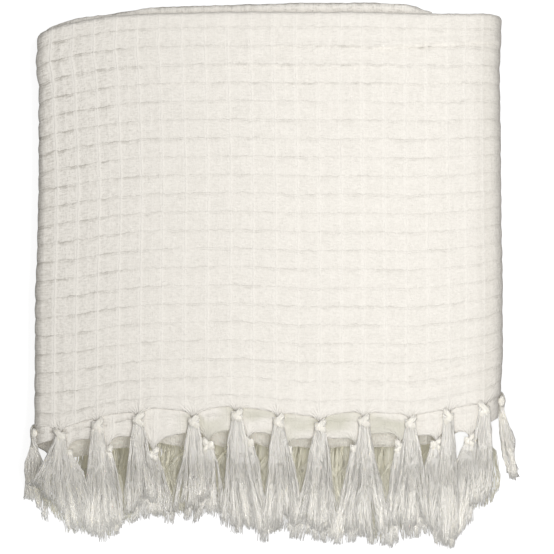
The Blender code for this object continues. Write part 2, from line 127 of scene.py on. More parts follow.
@dataclass(frozen=True)
class PacketFold:
    """The sizes of the folded packet, and the map from the flat throw into it.

    The flat throw has s across it, from the middle of the front panel, v along it from end A, and
    h off its middle surface towards its face side. Layers lie one step apart, gap is the air in a
    side bend, and knot_room is what one row of knots needs. The outline's and the sides' tables
    move the even packet's edges, and middle is the point that becomes the origin.
    """

    width: float = 1.300
    length: float = 1.700
    cloth: float = 0.0020
    step: float = 0.0026
    gap: float = 0.0008
    top_edge: float = 0.2748
    end_a: float = -0.1395
    end_b: float = -0.1632
    lower_fold: float = -0.1519
    inner_inset: float = 0.0010
    left_x: float = -0.2351
    right_x: float = 0.2185
    front_centre: float = 0.640
    knot_room: float = 0.0040
    middle: tuple[float, float, float] = (-0.0030, -0.0019, 0.0)
    outline: Profile = Profile(
        ("x", "top", "hem", "flap", "height"),
        (
            (-0.2460, -0.0270, -0.0165, 0.0020, 0.88),
            (-0.2351, -0.0186, -0.0175, 0.0020, 0.91),
            (-0.2050, -0.0108, -0.0145, 0.0050, 0.95),
            (-0.1690, -0.0046, -0.0050, 0.0020, 0.98),
            (-0.1280, -0.0015, 0.0010, 0.0065, 1.00),
            (-0.0410, 0.0000, 0.0035, 0.0070, 1.00),
            (0.0270, 0.0000, -0.0030, 0.0092, 1.00),
            (0.0900, 0.0000, -0.0020, 0.0096, 1.00),
            (0.1390, -0.0015, -0.0040, 0.0092, 1.00),
            (0.1610, -0.0021, -0.0006, 0.0005, 0.99),
            (0.1780, -0.0026, 0.0020, 0.0020, 0.99),
            (0.2185, -0.0020, 0.0110, 0.0020, 0.97),
            (0.2345, -0.0050, 0.0210, 0.0020, 0.94),
        ),
        0.008,
    )
    sides: Profile = Profile(
        ("y", "top", "hem", "left", "right", "lift"),
        (
            (-0.3000, 0.00, 1.00, -0.0040, -0.0020, 1.0),
            (-0.1320, 0.00, 1.00, -0.0055, -0.0020, 1.0),
            (-0.0950, 0.00, 0.75, -0.0055, 0.0000, 0.0),
            (-0.0200, 0.15, 0.60, -0.0050, 0.0000, 0.0),
            (0.1000, 0.45, 0.30, -0.0015, -0.0020, 0.0),
            (0.2000, 0.80, 0.10, -0.0010, -0.0030, 0.0),
            (0.2200, 0.86, 0.05, -0.0005, -0.0030, 0.0),
            (0.2400, 0.93, 0.00, -0.0045, -0.0022, 0.0),
            (0.2500, 0.95, 0.00, -0.0025, -0.0020, 0.0),
            (0.2900, 1.00, 0.00, -0.0010, -0.0010, 0.0),
        ),
        0.010,
    )

    @property
    def front_half(self) -> float:
        """Half the flat width of the front panel."""
        return (self.right_x - self.left_x) / 2

    @property
    def front_middle(self) -> float:
        """The front panel's middle, along X."""
        return (self.right_x + self.left_x) / 2

    @property
    def packet_top(self) -> float:
        """The height of the packet's top layer over its lowest one."""
        return 3 * self.step

    @property
    def left_radius(self) -> float:
        """The radius of the lowest layer at the left bend."""
        return (self.cloth + self.gap) / 2

    @property
    def right_radius(self) -> float:
        """The radius of the lowest layer at the right bend, which also wraps the left flap."""
        return self.cloth + self.gap + self.packet_top / 2

    @property
    def front_z(self) -> float:
        """The height of the front panel's lowest layer."""
        return self.packet_top + self.cloth / 2 + 2 * self.right_radius

    @property
    def left_bend(self) -> float:
        """The length of the throw that the left bend takes."""
        return np.pi * (self.left_radius + self.packet_top / 2)

    @property
    def right_bend(self) -> float:
        """The length of the throw that the right bend takes."""
        return np.pi * (self.right_radius + self.packet_top / 2)

    def runs(self) -> tuple[tuple[float, ...], ...]:
        """The straight runs and half turns from end A to end B.

        Returns:
            For a run its start and end along Y, its level and its face's side; for a half turn its
            centre along Y, its radius, its middle level, the side it bulges to, the way it leaves
            and whether the face side is outside.
        """
        wide, tight = 1.5 * self.step, 0.5 * self.step
        outer = self.top_edge - self.cloth / 2 - wide
        inner = outer - self.inner_inset
        lower = self.lower_fold + self.cloth / 2 + tight
        return (
            (self.end_a, outer, self.packet_top, 1),
            (outer, wide, self.packet_top / 2, 1, 1, 1),
            (outer, lower, 0.0, -1),
            (lower, tight, tight, -1, -1, -1),
            (lower, inner, self.step, 1),
            (inner, tight, self.packet_top / 2, 1, -1, -1),
            (inner, self.end_b, 2 * self.step, -1),
        )

    def spans(self) -> list[float]:
        """The lengths of the runs and half turns."""
        return [np.pi * r[1] if len(r) == 6 else abs(r[1] - r[0]) for r in self.runs()]

    def ends(self) -> Array:
        """Where the runs and half turns begin along the throw, and where the last one ends."""
        return np.cumsum([0.0, *self.spans()])

    def along(self, v: Array) -> tuple[Array, Array, Array, Array]:
        """Folds the throw along its length.

        A run is y = y0 + way * (v - start) at one level. A half turn of radius r and angle
        a = (v - start) / r is y = y0 + side * r * sin(a), level = middle + rise * r * cos(a).

        Args:
            v: distances from end A.

        Returns:
            The place along Y, the level, and the Y and level parts of the face side's normal.
        """
        y, level = np.zeros_like(v), np.zeros_like(v)
        ny, nl = np.zeros_like(v), np.zeros_like(v)
        start = 0.0
        spans = self.spans()
        for index, (sizes, span) in enumerate(zip(self.runs(), spans)):
            low = -np.inf if index == 0 else start
            high = np.inf if index == len(spans) - 1 else start + span
            inside = (v >= low) & (v < high)
            if len(sizes) == 4:
                y0, y1, at, face = sizes
                y[inside] = y0 + np.sign(y1 - y0) * (v[inside] - start)
                level[inside], nl[inside] = at, face
            else:
                y0, radius, at, side, rise, outward = sizes
                turn = (v[inside] - start) / radius
                y[inside] = y0 + side * radius * np.sin(turn)
                level[inside] = at + rise * radius * np.cos(turn)
                ny[inside] = outward * np.sin(turn)
                nl[inside] = outward * side * rise * np.cos(turn)
            start += span
        return y, level, ny, nl

    def place(self, s: Array, v: Array, h: Array) -> Array:
        """Folds points of the throw into the packet, and lets the packet settle.

        Across, the lowest layer is flat on the front panel, turns by pi times the share of a bend
        that is passed, and is flat again under the panel. A point stands off that path by its level
        and its height, along the turned normal. The rows of knots under it lift it by knot_room
        each, and the flap's table pushes the upper folds out.

        Args:
            s: places across the throw.
            v: places along the throw.
            h: heights off its middle surface.

        Returns:
            The points, one row each.
        """
        y, level, ny, nl = self.along(v)
        left = np.pi * np.clip(-s - self.front_half, 0, self.left_bend) / self.left_bend
        right = np.pi * np.clip(s - self.front_half, 0, self.right_bend) / self.right_bend
        x = np.clip(s, -self.front_half, self.front_half) + self.front_middle
        x += np.maximum(-s - self.front_half - self.left_bend, 0) - self.left_radius * np.sin(left)
        x -= np.maximum(s - self.front_half - self.right_bend, 0)
        x += self.right_radius * np.sin(right)
        z = self.front_z - self.left_radius * (1 - np.cos(left))
        z -= self.right_radius * (1 - np.cos(right))
        px, pz = np.sin(right) - np.sin(left), np.cos(left) * np.cos(right)
        proud = self.outline.at("flap", x) * left / np.pi * self.sides.at("top", y)
        under_left = ((1 - np.cos(left)) / 2) ** 2
        under_right = ((1 - np.cos(right)) / 2) ** 2
        rows = np.where(
            level > 2.5 * self.step, 2 - under_left - 2 * under_right, 2 - under_right
        )
        lift = self.knot_room * rows * self.sides.at("lift", y)
        off = level + h * nl
        return self.settle(np.stack([x + px * off, y + ny * h + proud, z + pz * off + lift], -1))

    def settle(self, points: Array) -> Array:
        """Gives the packet its uneven outline and thinner sides, and centres it.

        Y gains the outline's top and hem, each times the sides' column of that name. X gains the
        left or right column times the share of half the width. Z is scaled by the height.

        Args:
            points: points of the even packet, with X, Y and Z last.

        Returns:
            The settled points.
        """
        x, y, z = points[..., 0], points[..., 1], points[..., 2]
        top = self.outline.at("top", x) * self.sides.at("top", y)
        hem = self.outline.at("hem", x) * self.sides.at("hem", y)
        across = (x - self.front_middle) / self.front_half
        left = self.sides.at("left", y) * np.clip(-across, 0, 1)
        right = self.sides.at("right", y) * np.clip(across, 0, 1)
        height = self.outline.at("height", x)
        placed = np.stack([x + left + right, y + top + hem, z * height], -1)
        return placed - np.array(self.middle)


@dataclass(frozen=True)
class Lane:
    """The heights of one row of strands: at its knots, past the other row's, and where it lies."""

    neck: float
    over: float
    rest: float


@dataclass(frozen=True)
class Habit:
    """How one tassel lies.

    The sizes are its lean, its reach to either side, how much its body widens, and how much
    shorter it is than the line of tips.
    """

    lean: float
    reach: float
    body: float
    cut: float


@dataclass(frozen=True)
class Tassels:
    """One end's tassels, and the rows that they lie in.

    A row of front holds a tassel's place across the throw, how far it drops below the others, its
    lean, its reach to either side, and how much its body widens. On the flaps the tassels hang two
    waffle cells apart, and the throw has 59 cells across.
    """

    end: End
    front: tuple[tuple[float, ...], ...]
    flap_left: float
    flap_right: float
    per_flap: int
    lanes: dict[Panel, Lane]
    arch: float
    cusp: float
    flap_out: float
    flap_lean: dict[Panel, float]
    pitch: float = 2 * PacketFold.width / 59
    outer_cut: float = 0.0040
    inner_cut: float = 0.0130
    flap_reach: float = 0.0260
    flap_body: float = 0.0090
    flap_cut: float = 0.0150

    def places(self) -> Array:
        """Places across the throw of all the end's tassels, in order."""
        steps = self.pitch * np.arange(self.per_flap)
        front = [tassel[0] for tassel in self.front]
        return np.sort(np.concatenate([self.flap_left - steps, front, self.flap_right + steps]))

    def fall(self) -> Array:
        """How far each knot hangs below the cloth's straight hem, in the order of places."""
        flap = np.full(self.per_flap, self.flap_out)
        drops = [tassel[1] for tassel in self.front]
        return self.cusp + np.concatenate([flap, drops, flap * 0.3])

    def habit(self, number: int, panel: Panel, rng: np.random.Generator) -> Habit:
        """How a tassel lies: by its row of front, or by the flaps' sizes and the panel's lean.

        Args:
            number: the tassel's number, as in places.
            panel: the panel that it hangs from.
            rng: the tassel's own random numbers.

        Returns:
            Its habit, with 2 mm of scatter in its lean and 3 mm in its length.
        """
        at = number - self.per_flap
        if 0 <= at < len(self.front):
            lean, reach, body = self.front[at][2:]
            outer = self.end is End.B or at in (0, len(self.front) - 1)
            cut = self.outer_cut if outer else self.inner_cut
        else:
            lean, reach, body = self.flap_lean[panel], self.flap_reach, self.flap_body
            cut = self.flap_cut
        return Habit(lean + rng.normal(0, 0.0020), reach, body, cut + rng.normal(0, 0.0030))


ROW_A = Tassels(
    end=End.A,
    front=(
        (-0.2351, -0.0020, 0.0035, 0.0110, 0.0040),
        (-0.2109, 0.0020, -0.0030, 0.0210, 0.0030),
        (-0.1727, -0.0015, 0.0050, 0.0170, 0.0030),
        (-0.1314, 0.0000, 0.0010, 0.0150, 0.0028),
        (-0.0756, 0.0050, -0.0020, 0.0160, 0.0036),
        (-0.0322, -0.0005, 0.0020, 0.0200, 0.0046),
        (0.0101, 0.0015, 0.0000, 0.0180, 0.0040),
        (0.0535, 0.0045, -0.0050, 0.0170, 0.0046),
        (0.0990, 0.0000, 0.0070, 0.0200, 0.0030),
        (0.1475, 0.0005, 0.0000, 0.0190, 0.0036),
        (0.1868, 0.0000, -0.0020, 0.0140, 0.0014),
        (0.2240, 0.0015, -0.0030, 0.0110, 0.0034),
        (0.2451, 0.0000, 0.0150, 0.0055, 0.0012),
    ),
    flap_left=-0.2984,
    flap_right=0.3186,
    per_flap=8,
    lanes={
        Panel.RIGHT: Lane(0.00120, 0.00105, 0.00105),
        Panel.LEFT: Lane(0.01560, 0.01300, 0.00610),
        Panel.FRONT: Lane(0.03820, 0.03820, 0.01360),
    },
    arch=0.0055,
    cusp=0.0050,
    flap_out=0.0040,
    flap_lean={Panel.FRONT: 0.0, Panel.LEFT: -0.0080, Panel.RIGHT: 0.0020},
)
ROW_B = Tassels(
    end=End.B,
    front=(
        (-0.2039, -0.0060, 0.0150, 0.0200, 0.0100),
        (-0.1636, 0.0020, 0.0030, 0.0180, 0.0050),
        (-0.1171, 0.0110, 0.0000, 0.0200, 0.0050),
        (-0.0614, 0.0030, -0.0040, 0.0180, 0.0040),
        (-0.0211, 0.0000, 0.0030, 0.0200, 0.0050),
        (0.0182, 0.0040, 0.0000, 0.0180, 0.0040),
        (0.0543, 0.0010, 0.0020, 0.0190, 0.0040),
        (0.0905, 0.0020, -0.0020, 0.0180, 0.0040),
        (0.1370, -0.0020, 0.0030, 0.0200, 0.0050),
        (0.1742, 0.0000, 0.0030, 0.0180, 0.0080),
        (0.2093, 0.0030, -0.0110, 0.0130, 0.0090),
    ),
    flap_left=-0.2540,
    flap_right=0.2680,
    per_flap=9,
    lanes={
        Panel.RIGHT: Lane(0.00560, 0.00480, 0.00360),
        Panel.LEFT: Lane(0.02020, 0.01960, 0.00860),
        Panel.FRONT: Lane(0.03340, 0.03280, 0.01110),
    },
    arch=0.0085,
    cusp=0.0080,
    flap_out=0.0110,
    flap_lean={Panel.FRONT: 0.0, Panel.LEFT: 0.0100, Panel.RIGHT: -0.0120},
)
# The heights of the tassels that hang from the side bends.
BEND_LANES = {
    Panel.LEFT: Lane(0.0250, 0.0200, FLOOR_REST),
    Panel.RIGHT: Lane(0.0170, 0.0100, FLOOR_REST),
}


def add_object(name: str, data: bpy.types.ID) -> bpy.types.Object:
    """One object of the given data, linked to the scene."""
    made = bpy.data.objects.new(name, data)
    bpy.context.scene.collection.objects.link(made)
    return made


def add_mesh(name: str, points: Array, faces: Sequence[Sequence[int]]) -> bpy.types.Object:
    """One object from points and faces, smooth shaded and linked to the scene.

    Args:
        name: the object's name.
        points: one row per vertex.
        faces: the vertex numbers of each face.

    Returns:
        The new object, at the origin.
    """
    mesh = bpy.data.meshes.new(name)
    mesh.from_pydata(points.tolist(), [], faces)
    mesh.update()
    mesh.polygons.foreach_set("use_smooth", np.ones(len(mesh.polygons), dtype=bool))
    return add_object(name, mesh)


def put_attribute(piece: bpy.types.Object, name: str, kind: str, values: Array) -> None:
    """Stores one value or vector per vertex under a name that a material can read."""
    layer = piece.data.attributes.new(name, kind, "POINT")
    layer.data.foreach_set("vector" if kind == "FLOAT_VECTOR" else "value", values.ravel())


@dataclass(frozen=True)
class Waffle:
    """The waffle relief: cells between ribs, and the crinkles inside them."""

    cell_across: float = 0.02203
    cell_along: float = 0.01917
    along_phase: float = 0.0150
    warp: Profile = Profile(
        ("s", "cells"),
        (
            (-0.2480, -1.40),
            (-0.2170, 0.0),
            (-0.1085, 5.0),
            (0.0073, 10.0),
            (0.1210, 15.0),
            (0.1876, 18.0),
            (0.2230, 20.0),
            (0.2420, 21.0),
        ),
        0.006,
    )

    def cells(self, s: Array, v: Array) -> tuple[Array, Array]:
        """Counts of cells across and along the throw; each whole number is a rib.

        On the front panel the count across is read from the warp's table, and past the table's ends
        it goes on by one for each cell_across. Towards the upper left the ribs slant by up to 0.28
        of a cell.

        Args:
            s: places across the throw.
            v: places along it.

        Returns:
            The two counts.
        """
        (s0, first), (s1, last) = self.warp.rows[0], self.warp.rows[-1]
        before, past = first + (s - s0) / self.cell_across, last + (s - s1) / self.cell_across
        across = np.where(s < s0, before, np.where(s > s1, past, self.warp.at("cells", s)))
        along = (v - self.along_phase) / self.cell_along
        skew = 0.28 * np.clip((along - 12) / 7, 0, 1) * np.clip(1 - across / 16, 0, 1)
        return across + skew * (np.abs(s) < 0.26), along

    def height(self, s: Array, v: Array) -> Array:
        """The relief over the cloth's middle surface.

        With c and r the cell counts, k the part of r after the whole number and w the distance of
        c from a whole number: ribs across the throw 0.24 mm * exp(-(w / 0.10)^2), lapped ribs along
        it up to 0.50 mm * exp(-4 k), stronger and weaker from cell to cell, crinkles of 0.2 mm with
        pitches of 5 and 8.5 mm, and swells of 0.5 mm with a pitch of 45 mm. Near the left bend the
        ribs are up to 2.6 times as high and the cells are puffed by up to 0.75 mm, and at both
        bends each cell bulges by 0.6 mm.

        Args:
            s: places across the throw.
            v: places along it.

        Returns:
            The heights.
        """
        c, r = self.cells(s, v)
        r = r + 0.10 * mottle(s, v, 0.016, 3)
        k = r - np.floor(r)
        w = np.abs(c - np.round(c))
        half_w = np.abs(c + 0.5 - np.round(c + 0.5))
        ribs = 0.00024 * np.exp(-((w / 0.10) ** 2)) + 0.00014 * np.exp(-((half_w / 0.10) ** 2))
        lap = 0.00050 * np.exp(-4 * k) * (0.55 + 0.45 * mottle(s, v, 0.019, 5))
        crinkle = 0.00020 * mottle(s * 0.7, v, 0.0050, 7) + 0.00018 * mottle(s, v, 0.0085, 8)
        swell = 0.00050 * mottle(s, v, 0.045, 9)
        puff = np.clip(1 - c / 5, 0, 1) * (0.5 + 0.5 * np.clip((r - 4) / 12, 0, 1))
        pillow = 0.00075 * (np.abs(np.sin(np.pi * c) * np.sin(np.pi * r))) ** 0.6
        edge = 0.00060 * np.abs(np.sin(np.pi * r)) * (np.abs(s) > 0.2275)
        return (ribs + lap) * (1 + 1.6 * puff) + crinkle + pillow * puff + swell + edge


@dataclass
class Cloth:
    """The whole throw as one closed sheet, fine on the faces that show and coarse elsewhere.

    A row of creased holds a crease's start and end along X, its places along Y there, its depth
    and its width.
    """

    fold: PacketFold
    waffle: Waffle
    across_fine: int = 12
    along_fine: int = 8
    hem_reach: float = 0.034
    half: float = 0.0006
    creased: tuple[tuple[float, ...], ...] = (
        (-0.010, 0.112, 0.2385, 0.2375, 0.0013, 0.0024),
        (0.105, 0.234, 0.2370, 0.2440, 0.0024, 0.0026),
        (-0.060, 0.130, 0.2185, 0.2180, 0.0014, 0.0022),
        (-0.160, 0.060, 0.2000, 0.2010, 0.0008, 0.0022),
        (0.100, 0.232, 0.1980, 0.2040, 0.0009, 0.0022),
        (0.120, 0.226, -0.1200, -0.1040, 0.0011, 0.0028),
        (0.150, 0.226, -0.1010, -0.0870, 0.0009, 0.0028),
    )

    def across_stations(self) -> tuple[Array, Array]:
        """Coarse places across the throw and how finely each stretch between them is cut.

        Returns:
            The places, and one whole number per stretch.
        """
        fold = self.fold
        left, right = -fold.front_half, fold.front_half
        cells = np.linspace(left, right, 22)
        bend_l = left - np.linspace(0, fold.left_bend, 8)[:0:-1]
        bend_r = right + np.linspace(0, fold.right_bend, 10)[1:]
        flap_l = np.linspace(-fold.front_centre, bend_l[0], 18)[:-1]
        flap_r = np.linspace(bend_r[-1], fold.width - fold.front_centre, 16)[1:]
        places = np.concatenate([flap_l, bend_l, cells, bend_r, flap_r])
        middles = (places[1:] + places[:-1]) / 2
        on_front = np.abs(middles) < fold.front_half
        in_bend = ~on_front & (middles > bend_l[0]) & (middles < bend_r[-1])
        fine = np.where(on_front, self.across_fine, np.where(in_bend, 2, 6))
        return places, fine

    def along_stations(self) -> tuple[Array, Array]:
        """Coarse places along the throw and how finely each stretch between them is cut.

        Returns:
            The places, and one whole number per stretch.
        """
        ends = self.fold.ends()
        places = [np.linspace(ends[0], ends[1], 22)]
        fine = [np.full(21, self.along_fine)]
        for index, count in ((1, 6), (2, 14), (3, 4), (4, 12), (5, 4)):
            places.append(np.linspace(ends[index], ends[index + 1], count + 1)[1:])
            fine.append(np.ones(count, int))
        near_hem = ends[7] - self.hem_reach
        places.append(np.linspace(ends[6], near_hem, 13)[1:])
        fine.append(np.ones(12, int))
        places.append(np.linspace(near_hem, ends[7], 3)[1:])
        fine.append(np.full(2, 9))
        return np.concatenate(places), np.concatenate(fine)

    def fine_cells(self, across: Array, along: Array) -> tuple[Array, Array]:
        """Which coarse cells are cut finely.

        Args:
            across: coarse places across the throw.
            along: coarse places along it.

        Returns:
            One mask for the face side, whose front panel, upper folds and hems show, and one for
            the back, which shows at the hems.
        """
        s = (across[1:] + across[:-1])[:, None] / 2
        v = (along[1:] + along[:-1])[None, :] / 2
        ends = self.fold.ends()
        reach = self.fold.front_half + 0.018
        hems = (v < self.hem_reach) | (v > ends[7] - self.hem_reach)
        face = (np.abs(s) < reach) & (v < ends[2])
        upper_edge = (v > ends[1] - 0.022) & (v < ends[2] + 0.012) & (s < 0)
        back = (np.abs(s) < reach) & hems
        return face | upper_edge | back, back

    @staticmethod
    def cut(places: Array, fine: Array) -> tuple[Array, Array]:
        """Places with every stretch cut, and the number of each coarse place among them."""
        steps = [a + (b - a) * np.arange(n) / n for a, b, n in zip(places, places[1:], fine)]
        return np.concatenate([*steps, places[-1:]]), np.concatenate([[0], np.cumsum(fine)])

    @staticmethod
    def side_faces(rows: Array, columns: Array, fine: Array) -> list[list[int]]:
        """One side's faces: quads in a fine cell, and a single face in a coarse one.

        A coarse cell's face also takes in the points of its finely cut neighbours' edges.

        Args:
            rows: numbers of the coarse places across, on the fine grid.
            columns: numbers of the coarse places along, on the fine grid.
            fine: which coarse cells are cut.

        Returns:
            The faces, as numbers of the fine grid's points.
        """
        wide = columns[-1] + 1
        padded = np.pad(fine, 1)
        faces: list[list[int]] = []
        for i, j in np.ndindex(*fine.shape):
            i0, i1, j0, j1 = rows[i], rows[i + 1], columns[j], columns[j + 1]
            if fine[i, j]:
                a, b = np.meshgrid(np.arange(i0, i1), np.arange(j0, j1), indexing="ij")
                corner = (a * wide + b).ravel()
                quads = np.stack([corner, corner + wide, corner + wide + 1, corner + 1], -1)
                faces.extend(quads.tolist())
                continue
            along_i = np.arange(i0, i1) if padded[i + 1, j] else np.array([i0])
            up_j = np.arange(j0, j1) if padded[i + 2, j + 1] else np.array([j0])
            back_i = np.arange(i1, i0, -1) if padded[i + 1, j + 2] else np.array([i1])
            down_j = np.arange(j1, j0, -1) if padded[i, j + 1] else np.array([j1])
            ring = [along_i * wide + j0, i1 * wide + up_j, back_i * wide + j1, i0 * wide + down_j]
            faces.append(np.concatenate(ring).tolist())
        return faces

    @staticmethod
    def rim_faces(rows: Array, columns: Array, face: Array, back: Array) -> list[list[int]]:
        """The walls along the four edges that join both sides.

        Args:
            rows: numbers of the coarse places across, on the fine grid.
            columns: numbers of the coarse places along, on the fine grid.
            face: which coarse cells are cut on the face side.
            back: which are cut on the back.

        Returns:
            The faces; the back's points follow all of the face side's.
        """
        wide, tall = columns[-1] + 1, rows[-1] + 1
        offset = wide * tall
        faces: list[list[int]] = []

        def wall(points: Array, ends: Array, cut_face: bool, cut_back: bool, turned: bool) -> None:
            """Joins one stretch: quads where both sides are cut, else one face.

            Args:
                points: the stretch's points on the fine grid.
                ends: the first and last of them.
                cut_face: whether the face side is cut there.
                cut_back: whether the back is.
                turned: whether the faces run the other way round.
            """
            top = points if cut_face else ends
            low = points if cut_back else ends
            if cut_face and cut_back:
                rings = np.stack([top[:-1], low[:-1] + offset, low[1:] + offset, top[1:]], -1)
            else:
                rings = np.concatenate([top[::-1], low + offset])[None]
            faces.extend((rings[:, ::-1] if turned else rings).tolist())

        for i in range(len(rows) - 1):
            run = np.arange(rows[i], rows[i + 1] + 1) * wide
            for j, column, turned in ((0, 0, False), (-1, wide - 1, True)):
                at = run + column
                wall(at, at[[0, -1]], face[i, j], back[i, j], turned)
        for j in range(len(columns) - 1):
            run = np.arange(columns[j], columns[j + 1] + 1)
            for i, row, turned in ((0, 0, True), (-1, tall - 1, False)):
                at = run + row * wide
                wall(at, at[[0, -1]], face[i, j], back[i, j], turned)
        return faces

    def gathered(self, s: Array, v: Array) -> tuple[Array, Array, Array, Array]:
        """Draws the cloth in towards the knots near both hems.

        With e the distance from the hem, d the distance to the nearest knot, p = |d| / half the
        spacing and f = exp(-e / 9 mm): s moves towards the knot by 0.6 d (1 - p)^2 f. The hem moves
        out by f times the knot's fall, blended with its neighbour's by ease(p / 2), less the arch
        times 1 - (1 - min(p / 0.55, 1))^2. The arch grows with the spacing, and where two falls
        differ. The cloth rises by 0.8 mm at a knot, billows down by 1.4 mm between two, and its
        pleats are 0.7 mm cos(8 angle) round each knot.

        Args:
            s: places across the throw.
            v: places along it.

        Returns:
            The new s and v, the pleats' height, and the angle, distance and strength of the
            gathers, one row per point.
        """
        length = self.fold.ends()[-1]
        moved_s, moved_v, height = s.copy(), v.copy(), np.zeros_like(s)
        fan = np.zeros((len(s), 3))
        for row, inward, e in ((ROW_A, 1.0, v), (ROW_B, -1.0, length - v)):
            near = e < 0.060
            places = row.places()
            at = s[near]
            k = np.clip(np.searchsorted((places[1:] + places[:-1]) / 2, at), 0, len(places) - 1)
            d = at - places[k]
            gaps = np.concatenate([[0.05], np.diff(places), [0.05]])
            half = np.where(d > 0, gaps[k + 1], gaps[k]) / 2
            p = np.clip(np.abs(d) / half, 0, 1)
            fade = np.exp(-np.maximum(e[near], 0) / 0.009)
            moved_s[near] -= 0.60 * d * (1 - p) ** 2 * fade
            fall = row.fall()
            other = fall[np.clip(k + np.where(d > 0, 1, -1), 0, len(places) - 1)]
            beyond = ease(p / 2)
            out = fall[k] * (1 - beyond) + other * beyond
            arch = row.arch * np.clip(half / 0.020, 0.4, 1.2)
            arch = arch + 0.5 * np.abs(fall[k] - other) * np.sin(np.pi * p / 2)
            scallop = arch * (1 - (1 - np.clip(p / 0.55, 0, 1)) ** 2) - out
            moved_v[near] += inward * scallop * fade
            strength = (1 - p) * np.exp(-e[near] / 0.009)
            angle = np.arctan2(d, e[near] + 0.004)
            pleat = np.cos(8.0 * angle + 2.0 * mottle(at, e[near], 0.02, 21))
            billow = 0.0014 * np.clip(p / 0.4, 0, 1) * np.exp(-e[near] / 0.006)
            height[near] += 0.0007 * strength * pleat + 0.0008 * (1 - p) ** 2 * fade - billow
            fan[near] = np.stack([angle, e[near], strength], -1)
        return moved_s, moved_v, height, fan

    def creases(self, points: Array) -> Array:
        """Heights of the long creases across the front panel, most of them near its right side.

        With o = (y - yc) / width, each is a dent with a ridge above it, depth times
        exp(-(o - 1.2)^2) - exp(-o^2), between two places along X. It fades over 12 mm at both ends,
        and yc follows a straight line.

        Args:
            points: places in the frame.

        Returns:
            The height to add at each point.
        """
        x = points[:, 0] + self.fold.middle[0]
        y = points[:, 1] + self.fold.middle[1]
        total = np.zeros(len(x))
        for x0, x1, y0, y1, depth, width in self.creased:
            share = np.clip((x - x0) / (x1 - x0), 0, 1)
            fade = np.clip(np.minimum(x - x0, x1 - x) / 0.012 + 0.5, 0, 1)
            off = (y - (y0 + (y1 - y0) * share)) / width
            total += depth * fade * (np.exp(-((off - 1.2) ** 2)) - np.exp(-(off**2)))
        return total

    def both_sides(self, s: Array, v: Array) -> tuple[Array, Array, Array]:
        """The points of the face side and of the back.

        Each stands off the middle surface by half the sheet plus the relief, at least by 0.3 mm,
        and the hems are pressed to 0.4 of that towards their last 4 mm.

        Args:
            s: places across the throw.
            v: places along it.

        Returns:
            Both sides' points, and the gathers' angle, distance and strength.
        """
        new_s, new_v, pleats, fan = self.gathered(s, v)
        thin = 1 - 0.6 * np.exp(-np.minimum(v, self.fold.length - v) / 0.004)
        thick = np.maximum(self.half + self.waffle.height(s, v), 0.00030) * thin
        face = self.fold.place(new_s, new_v, thick)
        back = self.fold.place(new_s, new_v, -thick)
        in_front = np.abs(s) < self.fold.front_half + self.fold.left_bend / 2
        on_panel = in_front & (v < self.fold.spans()[0])
        lift = np.where(in_front, pleats, 0.0)
        face[:, 2] += lift + np.where(on_panel, self.creases(face), 0)
        back[:, 2] += lift
        face[:, 2], back[:, 2] = np.maximum(face[:, 2], 0.0), np.maximum(back[:, 2], 0.0)
        return face, back, fan

    def build(self) -> bpy.types.Object:
        """Builds the sheet from its two sides and the rim, without the points that no face uses.

        Returns:
            The object, with its cell counts as UV map and its gathers stored.
        """
        across, across_fine = self.across_stations()
        along, along_fine = self.along_stations()
        face_fine, back_fine = self.fine_cells(across, along)
        s_at, rows = self.cut(across, across_fine)
        v_at, columns = self.cut(along, along_fine)
        s, v = (grid.ravel() for grid in np.meshgrid(s_at, v_at, indexing="ij"))
        face, back, fan = self.both_sides(s, v)
        points = np.concatenate([face, back])
        faces = [
            *self.side_faces(rows, columns, face_fine),
            *((np.array(ring)[::-1] + len(s)).tolist()
              for ring in self.side_faces(rows, columns, back_fine)),
            *self.rim_faces(rows, columns, face_fine, back_fine),
        ]
        used = np.zeros(len(points), bool)
        used[np.concatenate([np.array(ring) for ring in faces])] = True
        number = np.cumsum(used) - 1
        piece = add_mesh("throw_cloth", points[used], [number[ring].tolist() for ring in faces])
        cells = np.tile(np.stack(self.waffle.cells(s, v), -1), (2, 1))[used]
        loops = np.zeros(len(piece.data.loops), int)
        piece.data.loops.foreach_get("vertex_index", loops)
        layer = piece.data.uv_layers.new(name="cells")
        layer.data.foreach_set("uv", cells[loops].ravel())
        put_attribute(piece, "fan", "FLOAT_VECTOR", np.tile(fan, (2, 1))[used])
        LOG.info("cloth: %d points, %d faces", used.sum(), len(faces))
        return piece


def tubes(paths: Array, radii: Array) -> tuple[Array, list[list[int]]]:
    """Closed three-sided tubes along many paths at once.

    At each station the tangent t is the path's difference, the side is the unit of t x up, and the
    ring is path + r (cos a side + sin a (side x t)) at a = 90, 210 and 330 degrees.

    Args:
        paths: (tubes, stations, 3) centre lines.
        radii: (tubes, stations) radii.

    Returns:
        The points and the faces.
    """
    count, stations, _ = paths.shape
    tangent = np.gradient(paths, axis=1)
    tangent /= np.linalg.norm(tangent, axis=-1, keepdims=True) + 1e-12
    up = np.broadcast_to([0.0, 0.0, 1.0], tangent.shape)
    steep = np.abs(tangent[..., 2:]) > 0.97
    up = np.where(steep, [0.0, 1.0, 0.0], up)
    side = np.cross(tangent, up)
    side /= np.linalg.norm(side, axis=-1, keepdims=True) + 1e-12
    over = np.cross(side, tangent)
    turn = np.radians([90.0, 210.0, 330.0])
    way = np.cos(turn)[:, None] * side[:, :, None] + np.sin(turn)[:, None] * over[:, :, None]
    ring = paths[:, :, None] + radii[:, :, None, None] * way
    number = np.arange(count * stations * 3).reshape(count, stations, 3)
    after = np.roll(number, -1, axis=2)
    walls = np.stack([number[:, :-1], number[:, 1:], after[:, 1:], after[:, :-1]], axis=-1)
    caps = np.concatenate([number[:, 0], number[:, -1, ::-1]])
    return ring.reshape(-1, 3), walls.reshape(-1, 4).tolist() + caps.tolist()


